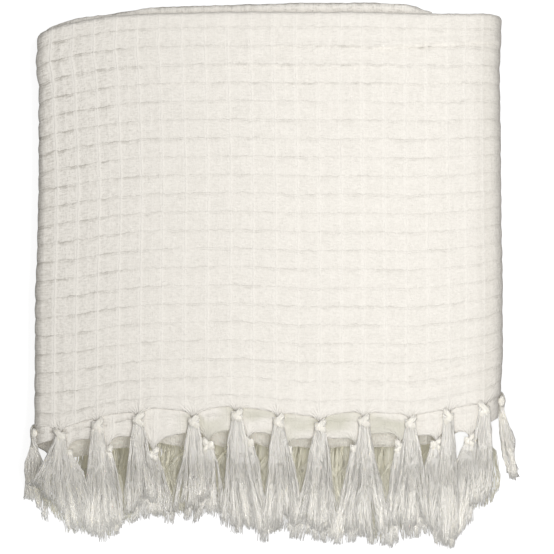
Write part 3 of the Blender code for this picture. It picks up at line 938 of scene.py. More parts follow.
@dataclass(frozen=True)
class Bundle:
    """One tassel's place: its knot, the way across the cloth, the cloth's face, and its row."""

    panel: Panel
    in_bend: bool
    edge: Array
    tangent: Array
    normal: Array
    rise: Array
    lane: Lane
    fall: float

    @property
    def shows(self) -> bool:
        """Whether the tassel lies on the front or in a side bend."""
        return self.panel is Panel.FRONT or self.in_bend


@dataclass
class Fringe:
    """One end's knots and yarns.

    Along Y a row of yarns passes over the other row at over_y, lies down at lane_y and ends at the
    line of tips.
    """

    fold: PacketFold
    row: Tassels
    yarn: float = 0.00038
    stations: int = 10
    over_y: float = -0.1885
    lane_y: float = -0.2150
    sink: float = 5.9
    longest: float = 0.120
    below_edge: float = 0.0035
    half_at_knot: float = 0.0052
    depth_at_knot: float = 0.0026
    depth_lost: float = 0.0019
    knot_out: float = 0.0015
    neck: float = 0.0130
    bend_neck: float = 0.0300
    tips: Profile = Profile(
        ("x", "y"),
        (
            (-0.2560, -0.2320),
            (-0.2440, -0.2380),
            (-0.2200, -0.2690),
            (-0.1850, -0.2720),
            (-0.1650, -0.2710),
            (-0.1420, -0.2530),
            (-0.0950, -0.2590),
            (-0.0700, -0.2450),
            (-0.0480, -0.2610),
            (0.0000, -0.2690),
            (0.0240, -0.2660),
            (0.0550, -0.2780),
            (0.1060, -0.2800),
            (0.1350, -0.2700),
            (0.1500, -0.2680),
            (0.1790, -0.2900),
            (0.2000, -0.2540),
            (0.2200, -0.2520),
            (0.2400, -0.2140),
            (0.2550, -0.2130),
        ),
        0.006,
    )

    def bundle(self, s: float, fall: float) -> Bundle:
        """Finds where a tassel sits, and which way it faces, by small steps on the folded cloth.

        Args:
            s: its place across the throw.
            fall: how far its knot hangs below the straight hem.

        Returns:
            The tassel's place.
        """
        fold, at_a = self.fold, self.row.end is End.A
        v = 0.0 if at_a else fold.ends()[-1]
        step = 1e-4
        here, after, before, above = fold.place(
            np.array([s, s + step, s - step, s]), np.full(4, v), np.array([0, 0, 0, step])
        )
        tangent, normal = (after - before) * [1, 0, 1], (above - here) * [1, 0, 1]
        tangent, normal = tangent / np.linalg.norm(tangent), normal / np.linalg.norm(normal)
        bend = fold.left_bend if s < 0 else fold.right_bend
        past = abs(s) - fold.front_half
        hair = 1e-6
        panel = Panel.FRONT if past <= hair else Panel.LEFT if s < 0 else Panel.RIGHT
        in_bend = hair < past < bend
        lane = BEND_LANES[panel] if in_bend else self.row.lanes[panel]
        rise = normal if in_bend else np.array([0.0, 0.0, 1.0 if at_a else -1.0])
        rise = rise * self.knot_out
        return Bundle(panel, in_bend, here, tangent, normal, rise, lane, fall)

    def heights(self, lane: Lane, neck_y: float, lane_y: float, y: Array) -> Array:
        """The height of a row's middle: the lane's three heights, then sinking outwards.

        It is the mean of five straight-line readings within 5 mm of each place.

        Args:
            lane: the row's heights.
            neck_y: where its strands leave the knots, along Y.
            lane_y: where they lie down.
            y: the places along Y.

        Returns:
            The heights.
        """
        ys = np.array([lane_y - self.longest, lane_y, self.over_y, neck_y])
        far = 0.0007 + (lane.rest - FLOOR_REST) * (1 - self.sink * self.longest)
        zs = np.array([far, lane.rest, lane.over, lane.neck])
        taps = np.linspace(-0.005, 0.005, 5)
        return np.mean([np.interp(y + tap, ys, zs) for tap in taps], axis=0)

    def lay(
        self, spot: Bundle, habit: Habit, across: tuple[Array, Array], through: Array, longer: Array
    ) -> Array:
        """Lays lines down a tassel, from under its knot to its tip.

        A line starts at a0 of the bundle's width w and ends at a1 of the tassel's reach:
        x = a0 w (1 - m) + a1 reach m, with m = 0.6 ease + 0.4 straight of (t - 0.12) / 0.88 and t
        the share of its length. The width w grows from 5.2 mm by the habit's body in the first
        quarter. Its height is the row's, plus b times the bundle's thickness. In a side bend the
        line starts turned with the cloth and lies flat after 30 mm.

        Args:
            spot: the tassel's place.
            habit: its lean, reach and length.
            across: each line's place across the bundle, -1 to 1, at the knot and at the tip.
            through: each line's place through it, -1 to 1, alike or different at each station.
            longer: how much each line is longer than the tassel.

        Returns:
            (lines, stations, 3) points, before the packet is centred.
        """
        flat = spot.edge + self.fold.middle
        a0, a1, b = across[0][:, None], across[1][:, None], through
        tip_x = flat[0] + habit.lean + across[1] * habit.reach
        tip_y = self.tips.at("y", tip_x) + habit.cut - longer
        start_y = flat[1] - self.below_edge - spot.fall
        t = np.linspace(0, 1, self.stations)[None, :]
        y = start_y + (tip_y[:, None] - start_y) * t
        m = np.clip((t - 0.12) / 0.88, 0, 1)
        m = ease(m) * 0.6 + m * 0.4
        body = a0 * (self.half_at_knot + habit.body * ease(np.clip(t / 0.24, 0, 1)))
        if not spot.shows:
            body = body * 1.5
        wide = body * (1 - m) + a1 * habit.reach * m + habit.lean * t**1.3
        deep = b * (self.depth_at_knot - self.depth_lost * np.clip(t / 0.7, 0, 1))
        hem = float(self.fold.outline.at("hem", flat[:1])[0])
        if spot.in_bend:
            neck_y, lane_y = flat[1] - self.bend_neck - hem, self.lane_y + 0.010
            middle = self.heights(spot.lane, neck_y, lane_y, y - hem)
            begin = np.clip((start_y - y) / 0.020, 0, 1)
            middle = (spot.edge + spot.rise)[2] * (1 - begin) + middle * begin
            turn = np.clip((start_y - y) / 0.030, 0, 1)
            wide = wide * (0.75 + 0.25 * turn)
            side = np.clip(-spot.normal[0] * 10, -1, 1) * (1 - turn)
            x = flat[0] + spot.rise[0] + wide * turn - deep * side * 1.4
            z = middle + deep * turn + wide * (1 - turn) * 0.8
        else:
            x = flat[0] + wide
            z = self.heights(spot.lane, flat[1] - hem - self.neck, self.lane_y, y - hem) + deep
        return np.stack([x, y, z], -1)

    def yarns(
        self, spot: Bundle, habit: Habit, count: int, rng: np.random.Generator
    ) -> tuple[Array, Array]:
        """The centre lines of one tassel's yarns, from the cloth's edge to the tips.

        The yarns end in 6 to 9 locks of uneven length, and a fifth of them stray to another lock.
        Each lock sways by up to 1.8 mm as a slow sine, and each yarn crinkles at random.

        Args:
            spot: the tassel's place.
            habit: its lean, reach and length.
            count: how many yarns.
            rng: the tassel's own random numbers.

        Returns:
            (count, stations, 3) points and (count, stations) radii.
        """
        locks = int(rng.integers(6, 10))
        lock = np.sort(rng.integers(0, locks, count))
        swap = rng.permutation(count)[: count // 5]
        lock[swap] = rng.permutation(lock[swap])
        lock_at = np.linspace(-0.9, 0.9, locks) + rng.normal(0, 0.10, locks)
        a0 = np.sort(rng.uniform(-1, 1, count))
        a1 = lock_at[lock] + rng.normal(0, 0.13, count)
        b = rng.uniform(-1, 1, count) * np.sqrt(np.clip(1 - a0**2, 0.10, 1))
        b = np.sign(b) * np.abs(b) ** 0.6
        longer = rng.normal(0, 0.0042, locks)[lock] - np.abs(rng.normal(0, 0.0030, count))
        paths = self.lay(spot, habit, (a0, a1), b[:, None], longer)
        t = np.linspace(0, 1, self.stations)[None, :]
        phase = rng.uniform(0, 1, locks)[lock][:, None]
        noise = rng.normal(0, 1, (2, count, self.stations))
        paths[..., 0] += 0.0018 * np.sin(2 * np.pi * (0.9 * t + phase)) * t
        paths[..., 0] += noise[0] * (0.00030 + 0.00070 * t**2)
        paths[..., 2] += noise[1] * 0.00016
        radius = np.full(noise[0].shape, self.yarn) * rng.uniform(0.75, 1.25, (count, 1))
        radius[:, -1] *= 0.8
        paths[..., 2] = np.maximum(paths[..., 2], radius * 1.05)
        head = self.head(spot, a0, b)
        head[..., 2] = np.maximum(head[..., 2], self.yarn * 1.4)
        paths = np.concatenate([head, paths - self.fold.middle], axis=1)
        return paths, np.concatenate([radius[:, :1].repeat(head.shape[1], 1), radius], axis=1)

    def core(self, spot: Bundle, habit: Habit, rng: np.random.Generator) -> tuple[Array, list]:
        """The dense middle of a tassel, which the yarns lie round: a closed, lobed loft.

        With q from 0 to 2 pi, its ring lies at 0.80 r cos q across and 0.86 r sin q through the
        bundle, where r = 1 + 0.12 sin(5 q + phase). It narrows to a fifth across and a tenth
        through, and ends about 32 mm short of the tips.

        Args:
            spot: the tassel's place.
            habit: its lean, reach and length.
            rng: the tassel's own random numbers.

        Returns:
            The points and the faces.
        """
        sides = 14
        q = np.arange(sides) * 2 * np.pi / sides
        lobe = 1 + 0.12 * np.sin(5 * q + rng.uniform(0, 6))
        a, b = 0.80 * lobe * np.cos(q), 0.86 * lobe * np.sin(q)
        shorter = -0.032 + 0.006 * np.sin(3 * q + rng.uniform(0, 6))
        thinner = 1 - 0.90 * np.linspace(0, 1, self.stations) ** 2
        paths = self.lay(spot, habit, (a, 0.20 * a), b[:, None] * thinner, shorter)
        paths[..., 2] = np.maximum(paths[..., 2], 0.0006)
        number = np.arange(sides * self.stations).reshape(sides, self.stations)
        after = np.roll(number, -1, axis=0)
        walls = np.stack([number[:, :-1], after[:, :-1], after[:, 1:], number[:, 1:]], -1)
        caps = [number[::-1, 0].tolist(), number[:, -1].tolist()]
        return (paths - self.fold.middle).reshape(-1, 3), walls.reshape(-1, 4).tolist() + caps

    @staticmethod
    def head(spot: Bundle, a: Array, b: Array) -> Array:
        """The first stations of each yarn: from the cloth's edge into the knot.

        Args:
            spot: the tassel's place.
            a: the yarns' places across the bundle, -1 to 1.
            b: their places through it.

        Returns:
            (yarns, 2, 3) points.
        """
        across = spot.tangent if spot.in_bend or spot.tangent[0] > 0 else -spot.tangent
        stations = []
        for down, wide, thick, off in (
            (-0.0020, 0.0060, 0.0008, 0.3),
            (0.0025, 0.0048, 0.0026, 0.9),
        ):
            centre = spot.edge + np.array([0.0, -down - spot.fall, 0.0]) + spot.rise * off
            stations.append(centre + a[:, None] * wide * across + b[:, None] * thick * spot.normal)
        return np.stack(stations, axis=1)

    @staticmethod
    def knot(spot: Bundle, rng: np.random.Generator) -> tuple[Array, Array]:
        """An overhand knot: two slanted bands of threads round the bundle, one over the other.

        With q from 0 to 2 pi a thread is centre + rx cos q across + rz sin q out, and lies down
        along the bundle by its own offset plus slant * rx * cos q. A band's outer threads lie
        closer in, by the root of 1 - 0.55 offset^2.

        Args:
            spot: the tassel's place.
            rng: the tassel's own random numbers.

        Returns:
            (threads, stations, 3) points and (threads, stations) radii.
        """
        threads, steps = (7, 17) if spot.shows else (4, 11)
        q = np.linspace(-0.5 * np.pi, 1.5 * np.pi, steps)
        hand = rng.choice([-1.0, 1.0])
        bands = []
        for slant, rx, rz, at, half in (
            (0.60, 0.0060, 0.0038, -0.0010, 0.0030),
            (-0.42, 0.0056, 0.0030, 0.0022, 0.0028),
        ):
            slant = hand * (slant + rng.normal(0, 0.08))
            rx, at = rx + rng.normal(0, 0.0004), at + rng.normal(0, 0.0004)
            offset = np.linspace(-1, 1, threads)
            crown = np.sqrt(1 - 0.55 * offset**2)[:, None]
            across = crown * rx * np.cos(q)
            out = crown * rz * np.sin(q)
            down = at + offset[:, None] * half * (1 + 0.15 * np.sin(q)) + slant * rx * np.cos(q)
            lay = across[..., None] * spot.tangent + out[..., None] * spot.normal
            bands.append(lay + down[..., None] * np.array([0.0, -1.0, 0.0]))
        centre = spot.edge + spot.rise + np.array([0.0, -0.0015 - spot.fall, 0.0])
        thread = 0.00085 if spot.shows else 0.00110
        paths = centre + np.concatenate(bands)
        paths[..., 2] = np.maximum(paths[..., 2], thread)
        return paths, np.full(paths.shape[:2], thread)

    def build(self, shows: bool, count: int) -> bpy.types.Object:
        """The tassels that show on the front, or those on the flaps under it, as one object.

        Args:
            shows: whether the front's tassels are built, or the flaps'.
            count: yarns in a tassel.

        Returns:
            The piece, with a tone stored for each yarn: from -1 to 0 in the front's knots, to 1 in
            its yarns, and to 2 on the flaps.
        """
        points, faces, tones, first = [], [], [], 0
        for number, (s, fall) in enumerate(zip(self.row.places(), self.row.fall())):
            spot = self.bundle(float(s), float(fall))
            if spot.shows is not shows:
                continue
            rng = np.random.default_rng(1000 * (self.row.end is End.B) + number)
            habit = self.row.habit(number, spot.panel, rng)
            body = self.core(spot, habit, rng)
            made = [(*body, np.full(len(body[0]), 0.5))]
            for (paths, radii), below in (
                (self.yarns(spot, habit, count, rng), 0),
                (self.knot(spot, rng), shows),
            ):
                tone = np.repeat(rng.uniform(0, 1, len(paths)) - below, paths.shape[1] * 3)
                made.append((*tubes(paths, radii), tone))
            for mesh, rings, tone in made:
                points.append(mesh)
                faces.append([[n + first for n in ring] for ring in rings])
                tones.append(tone if shows else tone + 1)
                first += len(mesh)
        rows = [ring for rings in faces for ring in rings]
        place = "front" if shows else "flaps"
        name = f"throw_fringe_{self.row.end.value}_{place}"
        piece = add_mesh(name, np.concatenate(points), rows)
        put_attribute(piece, "tone", "FLOAT", np.concatenate(tones))
        LOG.info("%s: %d points, %d faces", name, first, len(rows))
        return piece


class Maths:
    """A number socket whose operators add Math nodes to its tree."""

    def __init__(self, finish: "NodeTree", socket: Socket) -> None:
        """Wraps an output socket of a finish's tree."""
        self.finish = finish
        self.socket = socket

    def of(self, operation: str, *numbers: "Maths | float") -> "Maths":
        """The result of a Math node on the numbers, in their order."""
        values = dict(enumerate(numbers))
        node = self.finish.node("ShaderNodeMath", {"operation": operation}, values)
        return Maths(self.finish, node.outputs[0])

    def __add__(self, other: "Maths | float") -> "Maths":
        """Sum."""
        return self.of("ADD", self, other)

    __radd__ = __add__

    def __sub__(self, other: "Maths | float") -> "Maths":
        """Difference."""
        return self.of("SUBTRACT", self, other)

    def __rsub__(self, other: float) -> "Maths":
        """Difference from a plain number."""
        return self.of("SUBTRACT", other, self)

    def __mul__(self, other: "Maths | float") -> "Maths":
        """Product."""
        return self.of("MULTIPLY", self, other)

    __rmul__ = __mul__

    def __pow__(self, other: "Maths | float") -> "Maths":
        """Power."""
        return self.of("POWER", self, other)

    def sine(self) -> "Maths":
        """Sine."""
        return self.of("SINE", self)

    def size(self) -> "Maths":
        """Absolute value."""
        return self.of("ABSOLUTE", self)

    def part(self) -> "Maths":
        """The part after the whole number."""
        return self.of("FRACT", self)

    def above(self, other: float) -> "Maths":
        """1 where the number is greater than the other, else 0."""
        return self.of("GREATER_THAN", self, other)

    def held(self) -> "Maths":
        """The number held between 0 and 1."""
        node = self.finish.node("ShaderNodeClamp", {}, {0: self.socket})
        return Maths(self.finish, node.outputs[0])


class NodeTree:
    """A material's node tree, and the short ways to add to it.

    The painted glow, an emission that is no lamp and lifts the cotton's shade, shines with the
    strength set below, and spread is the share of light that goes on inside it.
    """

    painted_glow_strength: float = 0.24
    spread: float = 0.14

    def __init__(self, name: str) -> None:
        """Starts a material of the given name with an empty tree."""
        self.material = bpy.data.materials.new(name)
        self.material.use_nodes = True
        self.tree = self.material.node_tree
        self.tree.nodes.clear()

    def node(
        self, kind: str, settings: dict[str, object], values: dict[object, object]
    ) -> bpy.types.Node:
        """Adds one node.

        Args:
            kind: the node's type.
            settings: its own settings, set first.
            values: values or links of its input sockets, by name or number.

        Returns:
            The node.
        """
        node = self.tree.nodes.new(kind)
        for name, value in settings.items():
            setattr(node, name, value)
        for key, value in values.items():
            if isinstance(value, Maths):
                value = value.socket
            if isinstance(value, Socket):
                self.tree.links.new(value, node.inputs[key])
            else:
                node.inputs[key].default_value = value
        return node

    def noise(
        self, where: Socket, finer: tuple[float, float, float], detail: float, rough: float = 0.5,
        scale: float = 1.0,
    ) -> Maths:
        """Adds a noise between about 0 and 1.

        Args:
            where: the coordinates.
            finer: what they are multiplied by along each axis.
            detail: how many finer noises are added to the first.
            rough: how strong those are.
            scale: how much finer the whole noise is.

        Returns:
            The noise.
        """
        place = self.node("ShaderNodeMapping", {}, {"Vector": where, "Scale": finer}).outputs[0]
        node = self.node(
            "ShaderNodeTexNoise", {},
            {"Vector": place, "Scale": scale, "Detail": detail, "Roughness": rough},
        )
        return Maths(self, node.outputs[0])

    def parts(self, vector: Socket) -> list[Maths]:
        """The three parts of a vector, as numbers."""
        node = self.node("ShaderNodeSeparateXYZ", {}, {0: vector})
        return [Maths(self, part) for part in node.outputs]

    def close(self, shader: bpy.types.Node) -> bpy.types.Material:
        """Makes a shader the surface, and returns the material."""
        self.node("ShaderNodeOutputMaterial", {}, {"Surface": shader.outputs[0]})
        return self.material

    def blend(
        self, share: Maths | float, first: Colour | Socket, second: Colour | Socket,
        mode: str = "MIX",
    ) -> Socket:
        """Adds a colour between two.

        Args:
            share: how much of the second there is, from 0 to 1.
            first: the first colour.
            second: the second colour.
            mode: how they are mixed.

        Returns:
            The colour.
        """
        node = self.node("ShaderNodeMix", {"data_type": "RGBA", "blend_type": mode}, {
            0: share, 6: first, 7: second,
        })
        return node.outputs[2]

    def finish(
        self, colour: Socket, height: Maths, distance: float, strength: float, roughness: float,
        sheen: float, through: Socket, glow: float = 0.0,
    ) -> bpy.types.Material:
        """Closes the tree with a bump and the surface shader.

        Args:
            colour: the base colour.
            height: the bump's height, 0 to about 1.
            distance: the bump's depth in metres.
            strength: the bump's strength.
            roughness: the surface's roughness.
            sheen: the weight of its sheen.
            through: the painted glow, an emission colour that stands in for light through the thin
                cotton and lifts the shade.
            glow: how far light spreads inside it, in metres, or 0 for none.

        Returns:
            The material.
        """
        bump = self.node("ShaderNodeBump", {}, {
            "Strength": strength, "Distance": distance, "Height": height,
        })
        shader = self.node("ShaderNodeBsdfPrincipled", {}, {
            "Base Color": colour, "Roughness": roughness, "Normal": bump.outputs[0],
            "Sheen Weight": sheen, "Sheen Roughness": 0.5, "Specular IOR Level": 0.25,
            "Emission Color": through, "Emission Strength": self.painted_glow_strength,
        })
        if glow:
            shader.subsurface_method = "BURLEY"
            shader.inputs["Subsurface Weight"].default_value = self.spread
            shader.inputs["Subsurface Radius"].default_value = (1.0, 0.95, 0.8)
            shader.inputs["Subsurface Scale"].default_value = glow
        return self.close(shader)


@dataclass(frozen=True)
class WaffleCotton:
    """Undyed waffle cotton: raised ribs, crinkled cells, a thread weave and slubs."""

    light: Colour = (0.930, 0.891, 0.825, 1.0)
    shade: Colour = (0.600, 0.565, 0.505, 1.0)
    # Painted olive shade under the upper layer's hem.
    olive: Colour = (0.660, 0.640, 0.535, 1.0)
    # Colours of the painted glow: olive on the lower layers at the hems, and a quarter of the
    # cloth's colour elsewhere.
    deep_glow: Colour = (0.475, 0.455, 0.363, 1.0)
    dim: Colour = (0.250, 0.250, 0.250, 1.0)
    full_turn: float = 6.2832
    threads_across: float = 22.0
    threads_along: float = 20.0
    marks: tuple[tuple[float, ...], ...] = (
        (11.0, 15.3, 18.94, 18.90, 1.0),
        (15.3, 20.8, 18.88, 19.24, 1.0),
        (7.0, 16.3, 17.93, 17.92, 0.8),
        (4.0, 15.4, 16.95, 16.94, 0.6),
        (17.5, 20.6, 16.05, 16.15, 0.7),
        (18.0, 20.6, 17.05, 17.12, 0.6),
        (15.5, 20.5, 1.20, 1.75, 0.6),
        (17.0, 20.5, 2.15, 2.60, 0.5),
    )

    @staticmethod
    def mark(c: Maths, r: Maths, place: tuple[float, ...], half: float) -> Maths:
        """A line across the cells, from 0 beside it to its strength on it.

        Args:
            c: count of cells across.
            r: count of cells along.
            place: the line's two counts across, its counts along there, and its strength.
            half: half its width, in cells.

        Returns:
            The line.
        """
        c0, c1, r0, r1, strength = place
        slope = (r1 - r0) / (c1 - c0)
        off = r - (c - c0) * slope - r0
        line = (1.0 - off.size() * (1 / half)).held()
        ends = ((c - c0) * 1.5).held() * ((c1 - c) * 1.5).held()
        return line * ends * strength

    @staticmethod
    def rib(count: Maths, sharp: float) -> Maths:
        """A line on each whole number of a count: (2 * |part - 0.5|) ^ sharp."""
        return ((count.part() - 0.5).size() * 2) ** sharp

    @staticmethod
    def patch(noise: Maths, level: float, slope: float) -> Maths:
        """Patches from a noise: (noise - level) * slope, held between 0 and 1."""
        return ((noise - level) * slope).held()

    def material(self) -> bpy.types.Material:
        """Builds the material from the cell counts in the UV map.

        Returns:
            The material.
        """
        net = NodeTree("waffle_cotton")
        uv = net.node("ShaderNodeUVMap", {"uv_map": "cells"}, {}).outputs[0]
        cells, rows, _ = net.parts(uv)
        wander = net.noise(uv, (0.8, 0.8, 1), 2.0, scale=2.2) - 0.5
        wave = net.noise(uv, (1.6, 0.3, 1), 3.0, scale=2.0) - 0.5
        c, r = cells + wander * 0.10, rows + wave * 0.30
        puff = (1.0 - cells * 0.2).held() * (((rows - 4.0) * 0.083).held() * 0.5 + 0.5)

        # Ribs, laps and grooves between the cells, broken and worn in places.
        broken = self.patch(net.noise(uv, (1.1, 0.9, 1), 1.0), 0.45, 6.0)
        also = self.patch(net.noise(uv, (1.3, 0.7, 1), 1.0), 0.50, 6.0)
        worn = net.noise(uv, (0.9, 0.5, 1), 1.0)
        warp_rib = self.rib(c, 14.0) * (worn + 0.4)
        twin_rib = self.rib(c + 0.10, 18.0) * (1.3 - worn)
        half_rib = self.rib(c + 0.5, 16.0) * worn
        lap = (1 - r.part()) ** 9.0 * (broken * 0.6 + 0.4)
        groove = r.part() ** 11.0 * (broken * 0.70 + 0.30)
        crease = (r + 0.11).part() ** 26.0 * also

        # The thread weave, and its crinkles and slubs.
        threads = (c * (self.full_turn * self.threads_across)).sine() * 0.5 + 0.5
        picks = (r * (self.full_turn * self.threads_along)).sine() * 0.5 + 0.5
        crinkle = net.noise(uv, (3.0, 6.0, 1), 4.0, 0.6, scale=1.6)
        warp_way = net.noise(uv, (13.0, 3.2, 1), 3.0, 0.6)
        weft_way = net.noise(uv, (3.6, 12.0, 1), 3.0, 0.6)
        blotch = net.noise(uv, (1.1, 1.6, 1), 2.0)

        # Long creases, and pleats that fan out from the knots.
        wavy = cells + wander * 0.3, rows + wave * 0.16
        lines = [self.mark(*wavy, mark, half=0.08) for mark in self.marks]
        line = sum(lines[1:], start=lines[0])
        frayed = self.patch(net.noise(uv, (3.5, 4.0, 1), 2.0), 0.38, 4.0)
        line = line * frayed * (broken * 0.5 + 0.5)
        fan = net.node("ShaderNodeAttribute", {"attribute_name": "fan"}, {})
        angle, _, gather = net.parts(fan.outputs[1])
        pleat = (angle * 22.0 + wander * 8.0).sine() * 0.5 + 0.5
        height = (
            warp_rib * 0.45 + twin_rib * 0.20 + half_rib * 0.12 + lap * 0.42 - groove * 0.32
            - crease * 0.30 + threads * 0.06 + picks * 0.06 + crinkle * 0.9 - line * 0.8
            + warp_way * 0.50 + weft_way * 0.55 + pleat * gather * 0.8
        )

        # The colour: painted shade in the grooves, the creases and the crinkles' hollows, and
        # painted highlights on the ribs, all stronger towards the upper left, with random blotches
        # of tone.
        grid = groove * 0.6 + crease * 0.3 - warp_rib * 0.85 - twin_rib * 0.30 - half_rib * 0.20
        # Painted shade where the crinkle and thread noises, which also raise the bump, are low.
        hollow_shade = (0.5 - crinkle) * 1.3 + (0.5 - warp_way) * 0.9 + (0.5 - weft_way) * 0.9
        painted_shade_and_tone = grid * (puff * 2.5 + 0.55) + hollow_shade * (puff + 0.42) + line * 0.5
        painted_shade_and_tone = painted_shade_and_tone + (0.5 - blotch) * 0.3
        hem = (3.0 - rows).held() + (rows - 85.0).held()
        flap = ((cells - 10.5).size() - 11.5).held() * hem
        # Painted shade on the last cells at both side bends, where the cloth turns away from the
        # light.
        bend_shade = ((cells - 19.4) * 1.4).held() + (0.15 - cells * 1.6).held()
        bend_shade = bend_shade * (13.0 - (cells - 10.5).size()).held()
        share = painted_shade_and_tone + puff * 0.04 + bend_shade * 0.28 + 0.15
        # The lower layers at the hems are painted lighter, painted light that lifts their shade;
        # the cloth is also a little darker towards the upper left.
        colour = net.blend(share.held() * (1.0 - flap * 0.4), self.light, self.shade)

        # Painted olive shade in patches on the lower layer's hem, below the upper hem, and a
        # painted glow: a faint emission over the whole cloth, olive on the lower layers at the
        # hems.
        middle = (5.5 - (cells - 11.2).size()).held() * (rows - 86.0).held()
        patches = self.patch(net.noise(uv, (0.45, 1.0, 1), 1.0), 0.36, 5.0)
        under_hem_shade = middle * patches * (1.0 - ((rows - 87.0) * 1.6).held() * 0.35)
        colour = net.blend(under_hem_shade * 0.9, colour, self.olive)
        # A painted glow, an emission that is no lamp and lifts the cloth's shade.
        through = net.blend(flap, net.blend(1.0, colour, self.dim, "MULTIPLY"), self.deep_glow)
        return net.finish(
            colour, height, distance=0.0014, strength=0.80, roughness=0.95, sheen=0.0,
            through=through,
        )


@dataclass(frozen=True)
class FringeYarn:
    """Undyed cotton yarn: each strand its own tone, with twist and fuzz."""

    bright: Colour = (0.870, 0.845, 0.790, 1.0)
    light: Colour = (0.720, 0.704, 0.676, 1.0)
    shade: Colour = (0.660, 0.642, 0.611, 1.0)
    # Painted olive shade of the flaps' yarns, which lie under the others.
    under: Colour = (0.720, 0.700, 0.600, 1.0)
    # Colours of the painted glow: olive on the flaps, dim at the yarns' thick tops and light at
    # their tips.
    deep_glow: Colour = (0.363, 0.350, 0.280, 1.0)
    thick: Colour = (0.188, 0.183, 0.165, 1.0)
    thin: Colour = (0.875, 0.885, 0.863, 1.0)

    def material(self) -> bpy.types.Material:
        """Builds the material from each yarn's tone and its place.

        A painted glow, an emission that lifts the yarns' shade, is stronger at their far ends than
        at their thick tops, and strongest on the left. The flaps' yarns are painted olive shade and
        glow olive.

        Returns:
            The material.
        """
        net = NodeTree("fringe_cotton")
        where = net.node("ShaderNodeTexCoord", {}, {}).outputs["Object"]
        named = net.node("ShaderNodeAttribute", {"attribute_name": "tone"}, {})
        tone = Maths(net, named.outputs[2])
        fuzz = net.noise(where, (1500, 500, 1500), 3.0, 0.6)
        patch = net.noise(where, (60, 30, 60), 2.0)
        combed = net.noise(where, (1100, 45, 600), 2.0)
        share = tone.part() * 0.35 + patch * 0.4 - 0.18 + (fuzz - 0.5) * 0.25
        share = (share + (combed - 0.5) * 0.35).held()
        colour = net.blend(share, self.light, self.shade)
        knot = (-1.0 * tone).above(0.0) * 0.9
        colour = net.blend(knot, colour, self.bright)
        # The flaps' yarns are painted olive shade.
        flap = (tone - 1).above(0.0) * 0.8
        colour = net.blend(flap, colour, self.under)
        x, y, _ = net.parts(where)
        # A painted glow, stronger towards the yarns' tips and on the left, and olive on the flaps.
        far = (y * -14.0 - 2.75).held()
        left = (x * -9.0 - 1.0).held()
        through = net.blend(far * (left * 0.6 + 0.4), self.thick, self.thin)
        through = net.blend(flap * (1.0 - far * 0.5), through, self.deep_glow)
        return net.finish(
            colour, fuzz + combed * 1.2, distance=0.0005, strength=0.3, roughness=0.9, sheen=0.2,
            through=through, glow=0.0016,
        )


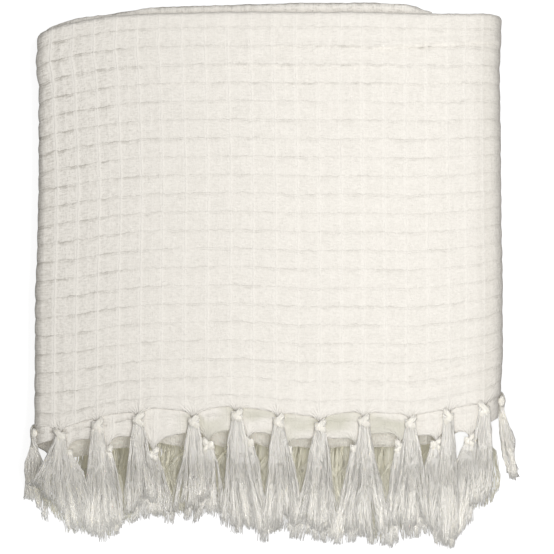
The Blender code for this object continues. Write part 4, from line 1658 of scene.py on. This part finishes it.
@dataclass(frozen=True)
class Studio:
    """The pale floor, the soft light, the white surround and the camera straight above."""

    frame_width: float = 0.5723
    top: float = 0.033
    distance: float = 5.0
    floor_size: float = 6.0
    lamp_place: tuple[float, float, float] = (0.15, 0.10, 0.70)
    lamp_size: tuple[float, float] = (0.3, 1.2)
    lamp_watts: float = 4.15
    surround: float = 0.415

    def floor(self) -> bpy.types.Object:
        """Lays a large plain floor under the throw, which shines a little to stay pale.

        Returns:
            The floor.
        """
        half = self.floor_size / 2
        corners = np.array([[-half, -half, 0], [half, -half, 0], [half, half, 0], [-half, half, 0]])
        piece = add_mesh("floor", corners - [0, 0, 0.0002], [[0, 1, 2, 3]])
        net = NodeTree("floor_paint")
        shader = net.node("ShaderNodeBsdfPrincipled", {}, {
            "Base Color": (0.50, 0.50, 0.50, 1.0), "Roughness": 0.9, "Specular IOR Level": 0.0,
            "Emission Color": (1.0, 1.0, 1.0, 1.0), "Emission Strength": 0.80,
        })
        piece.data.materials.append(net.close(shader))
        piece.visible_diffuse = False
        return piece

    def light(self) -> None:
        """Hangs a long soft light that points straight down, unseen itself."""
        data = bpy.data.lights.new("strip", "AREA")
        data.shape = "RECTANGLE"
        data.size, data.size_y, data.energy = *self.lamp_size, self.lamp_watts
        lamp = add_object("strip", data)
        lamp.location = self.lamp_place
        lamp.visible_camera = False

    def world(self) -> None:
        """Adds a white surround, brightest overhead.

        Its strength is the surround's times a share that climbs straight from 0.12 to 1.25 while
        the height of the direction goes from -0.2 to 0.8.
        """
        world = bpy.data.worlds.new("surround")
        world.use_nodes = True
        tree = world.node_tree
        way = tree.nodes.new("ShaderNodeTexCoord")
        split = tree.nodes.new("ShaderNodeSeparateXYZ")
        rise = tree.nodes.new("ShaderNodeMapRange")
        strengths = 0.12 * self.surround, 1.25 * self.surround
        for index, value in enumerate((-0.2, 0.8, *strengths), start=1):
            rise.inputs[index].default_value = value
        back = tree.nodes["Background"]
        back.inputs[0].default_value = (1.0, 1.0, 1.0, 1.0)
        tree.links.new(way.outputs["Generated"], split.inputs[0])
        tree.links.new(split.outputs[2], rise.inputs[0])
        tree.links.new(rise.outputs[0], back.inputs[1])
        bpy.context.scene.world = world

    def camera(self, centre: tuple[float, float]) -> None:
        """Sets a long lens straight above, with the frame's width at the front panel's height.

        Args:
            centre: the middle of the picture, along X and Y.
        """
        data = bpy.data.cameras.new("camera")
        data.sensor_width = 36.0
        data.lens = data.sensor_width * self.distance / self.frame_width
        data.clip_end = 20.0
        eye = add_object("camera", data)
        eye.location = (centre[0], centre[1], self.top + self.distance)
        bpy.context.scene.camera = eye

    def build(self, centre: tuple[float, float]) -> None:
        """Sets the floor, the light, the surround and the camera.

        Args:
            centre: the middle of the picture, along X and Y.
        """
        self.floor()
        self.light()
        self.world()
        self.camera(centre)
        bpy.context.scene.view_settings.view_transform = "Standard"


def dress(piece: bpy.types.Object, node: str, material: bpy.types.Material) -> None:
    """Gives a piece its material, and lets it stand for its node.

    Args:
        piece: the piece.
        node: the node that it replaces.
        material: its material.
    """
    piece.data.materials.append(material)
    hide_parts(node)
    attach(piece, "root")


def main() -> None:
    """Builds the camera and lights, the cloth, and the two fringes."""
    logging.basicConfig(level=logging.INFO, format="%(name)s: %(message)s")
    fold = PacketFold()
    Studio().build((-fold.middle[0], -fold.middle[1]))
    cloth = Cloth(fold, Waffle()).build()
    dress(cloth, "cloth", WaffleCotton().material())
    yarn = FringeYarn().material()
    for row, front_yarns, flap_yarns in ((ROW_A, 185, 130), (ROW_B, 205, 120)):
        for shows, count in ((True, front_yarns), (False, flap_yarns)):
            piece = Fringe(fold, row).build(shows, count)
            dress(piece, f"fringe_{row.end.value}", yarn)


if __name__ == "__main__":
    main()
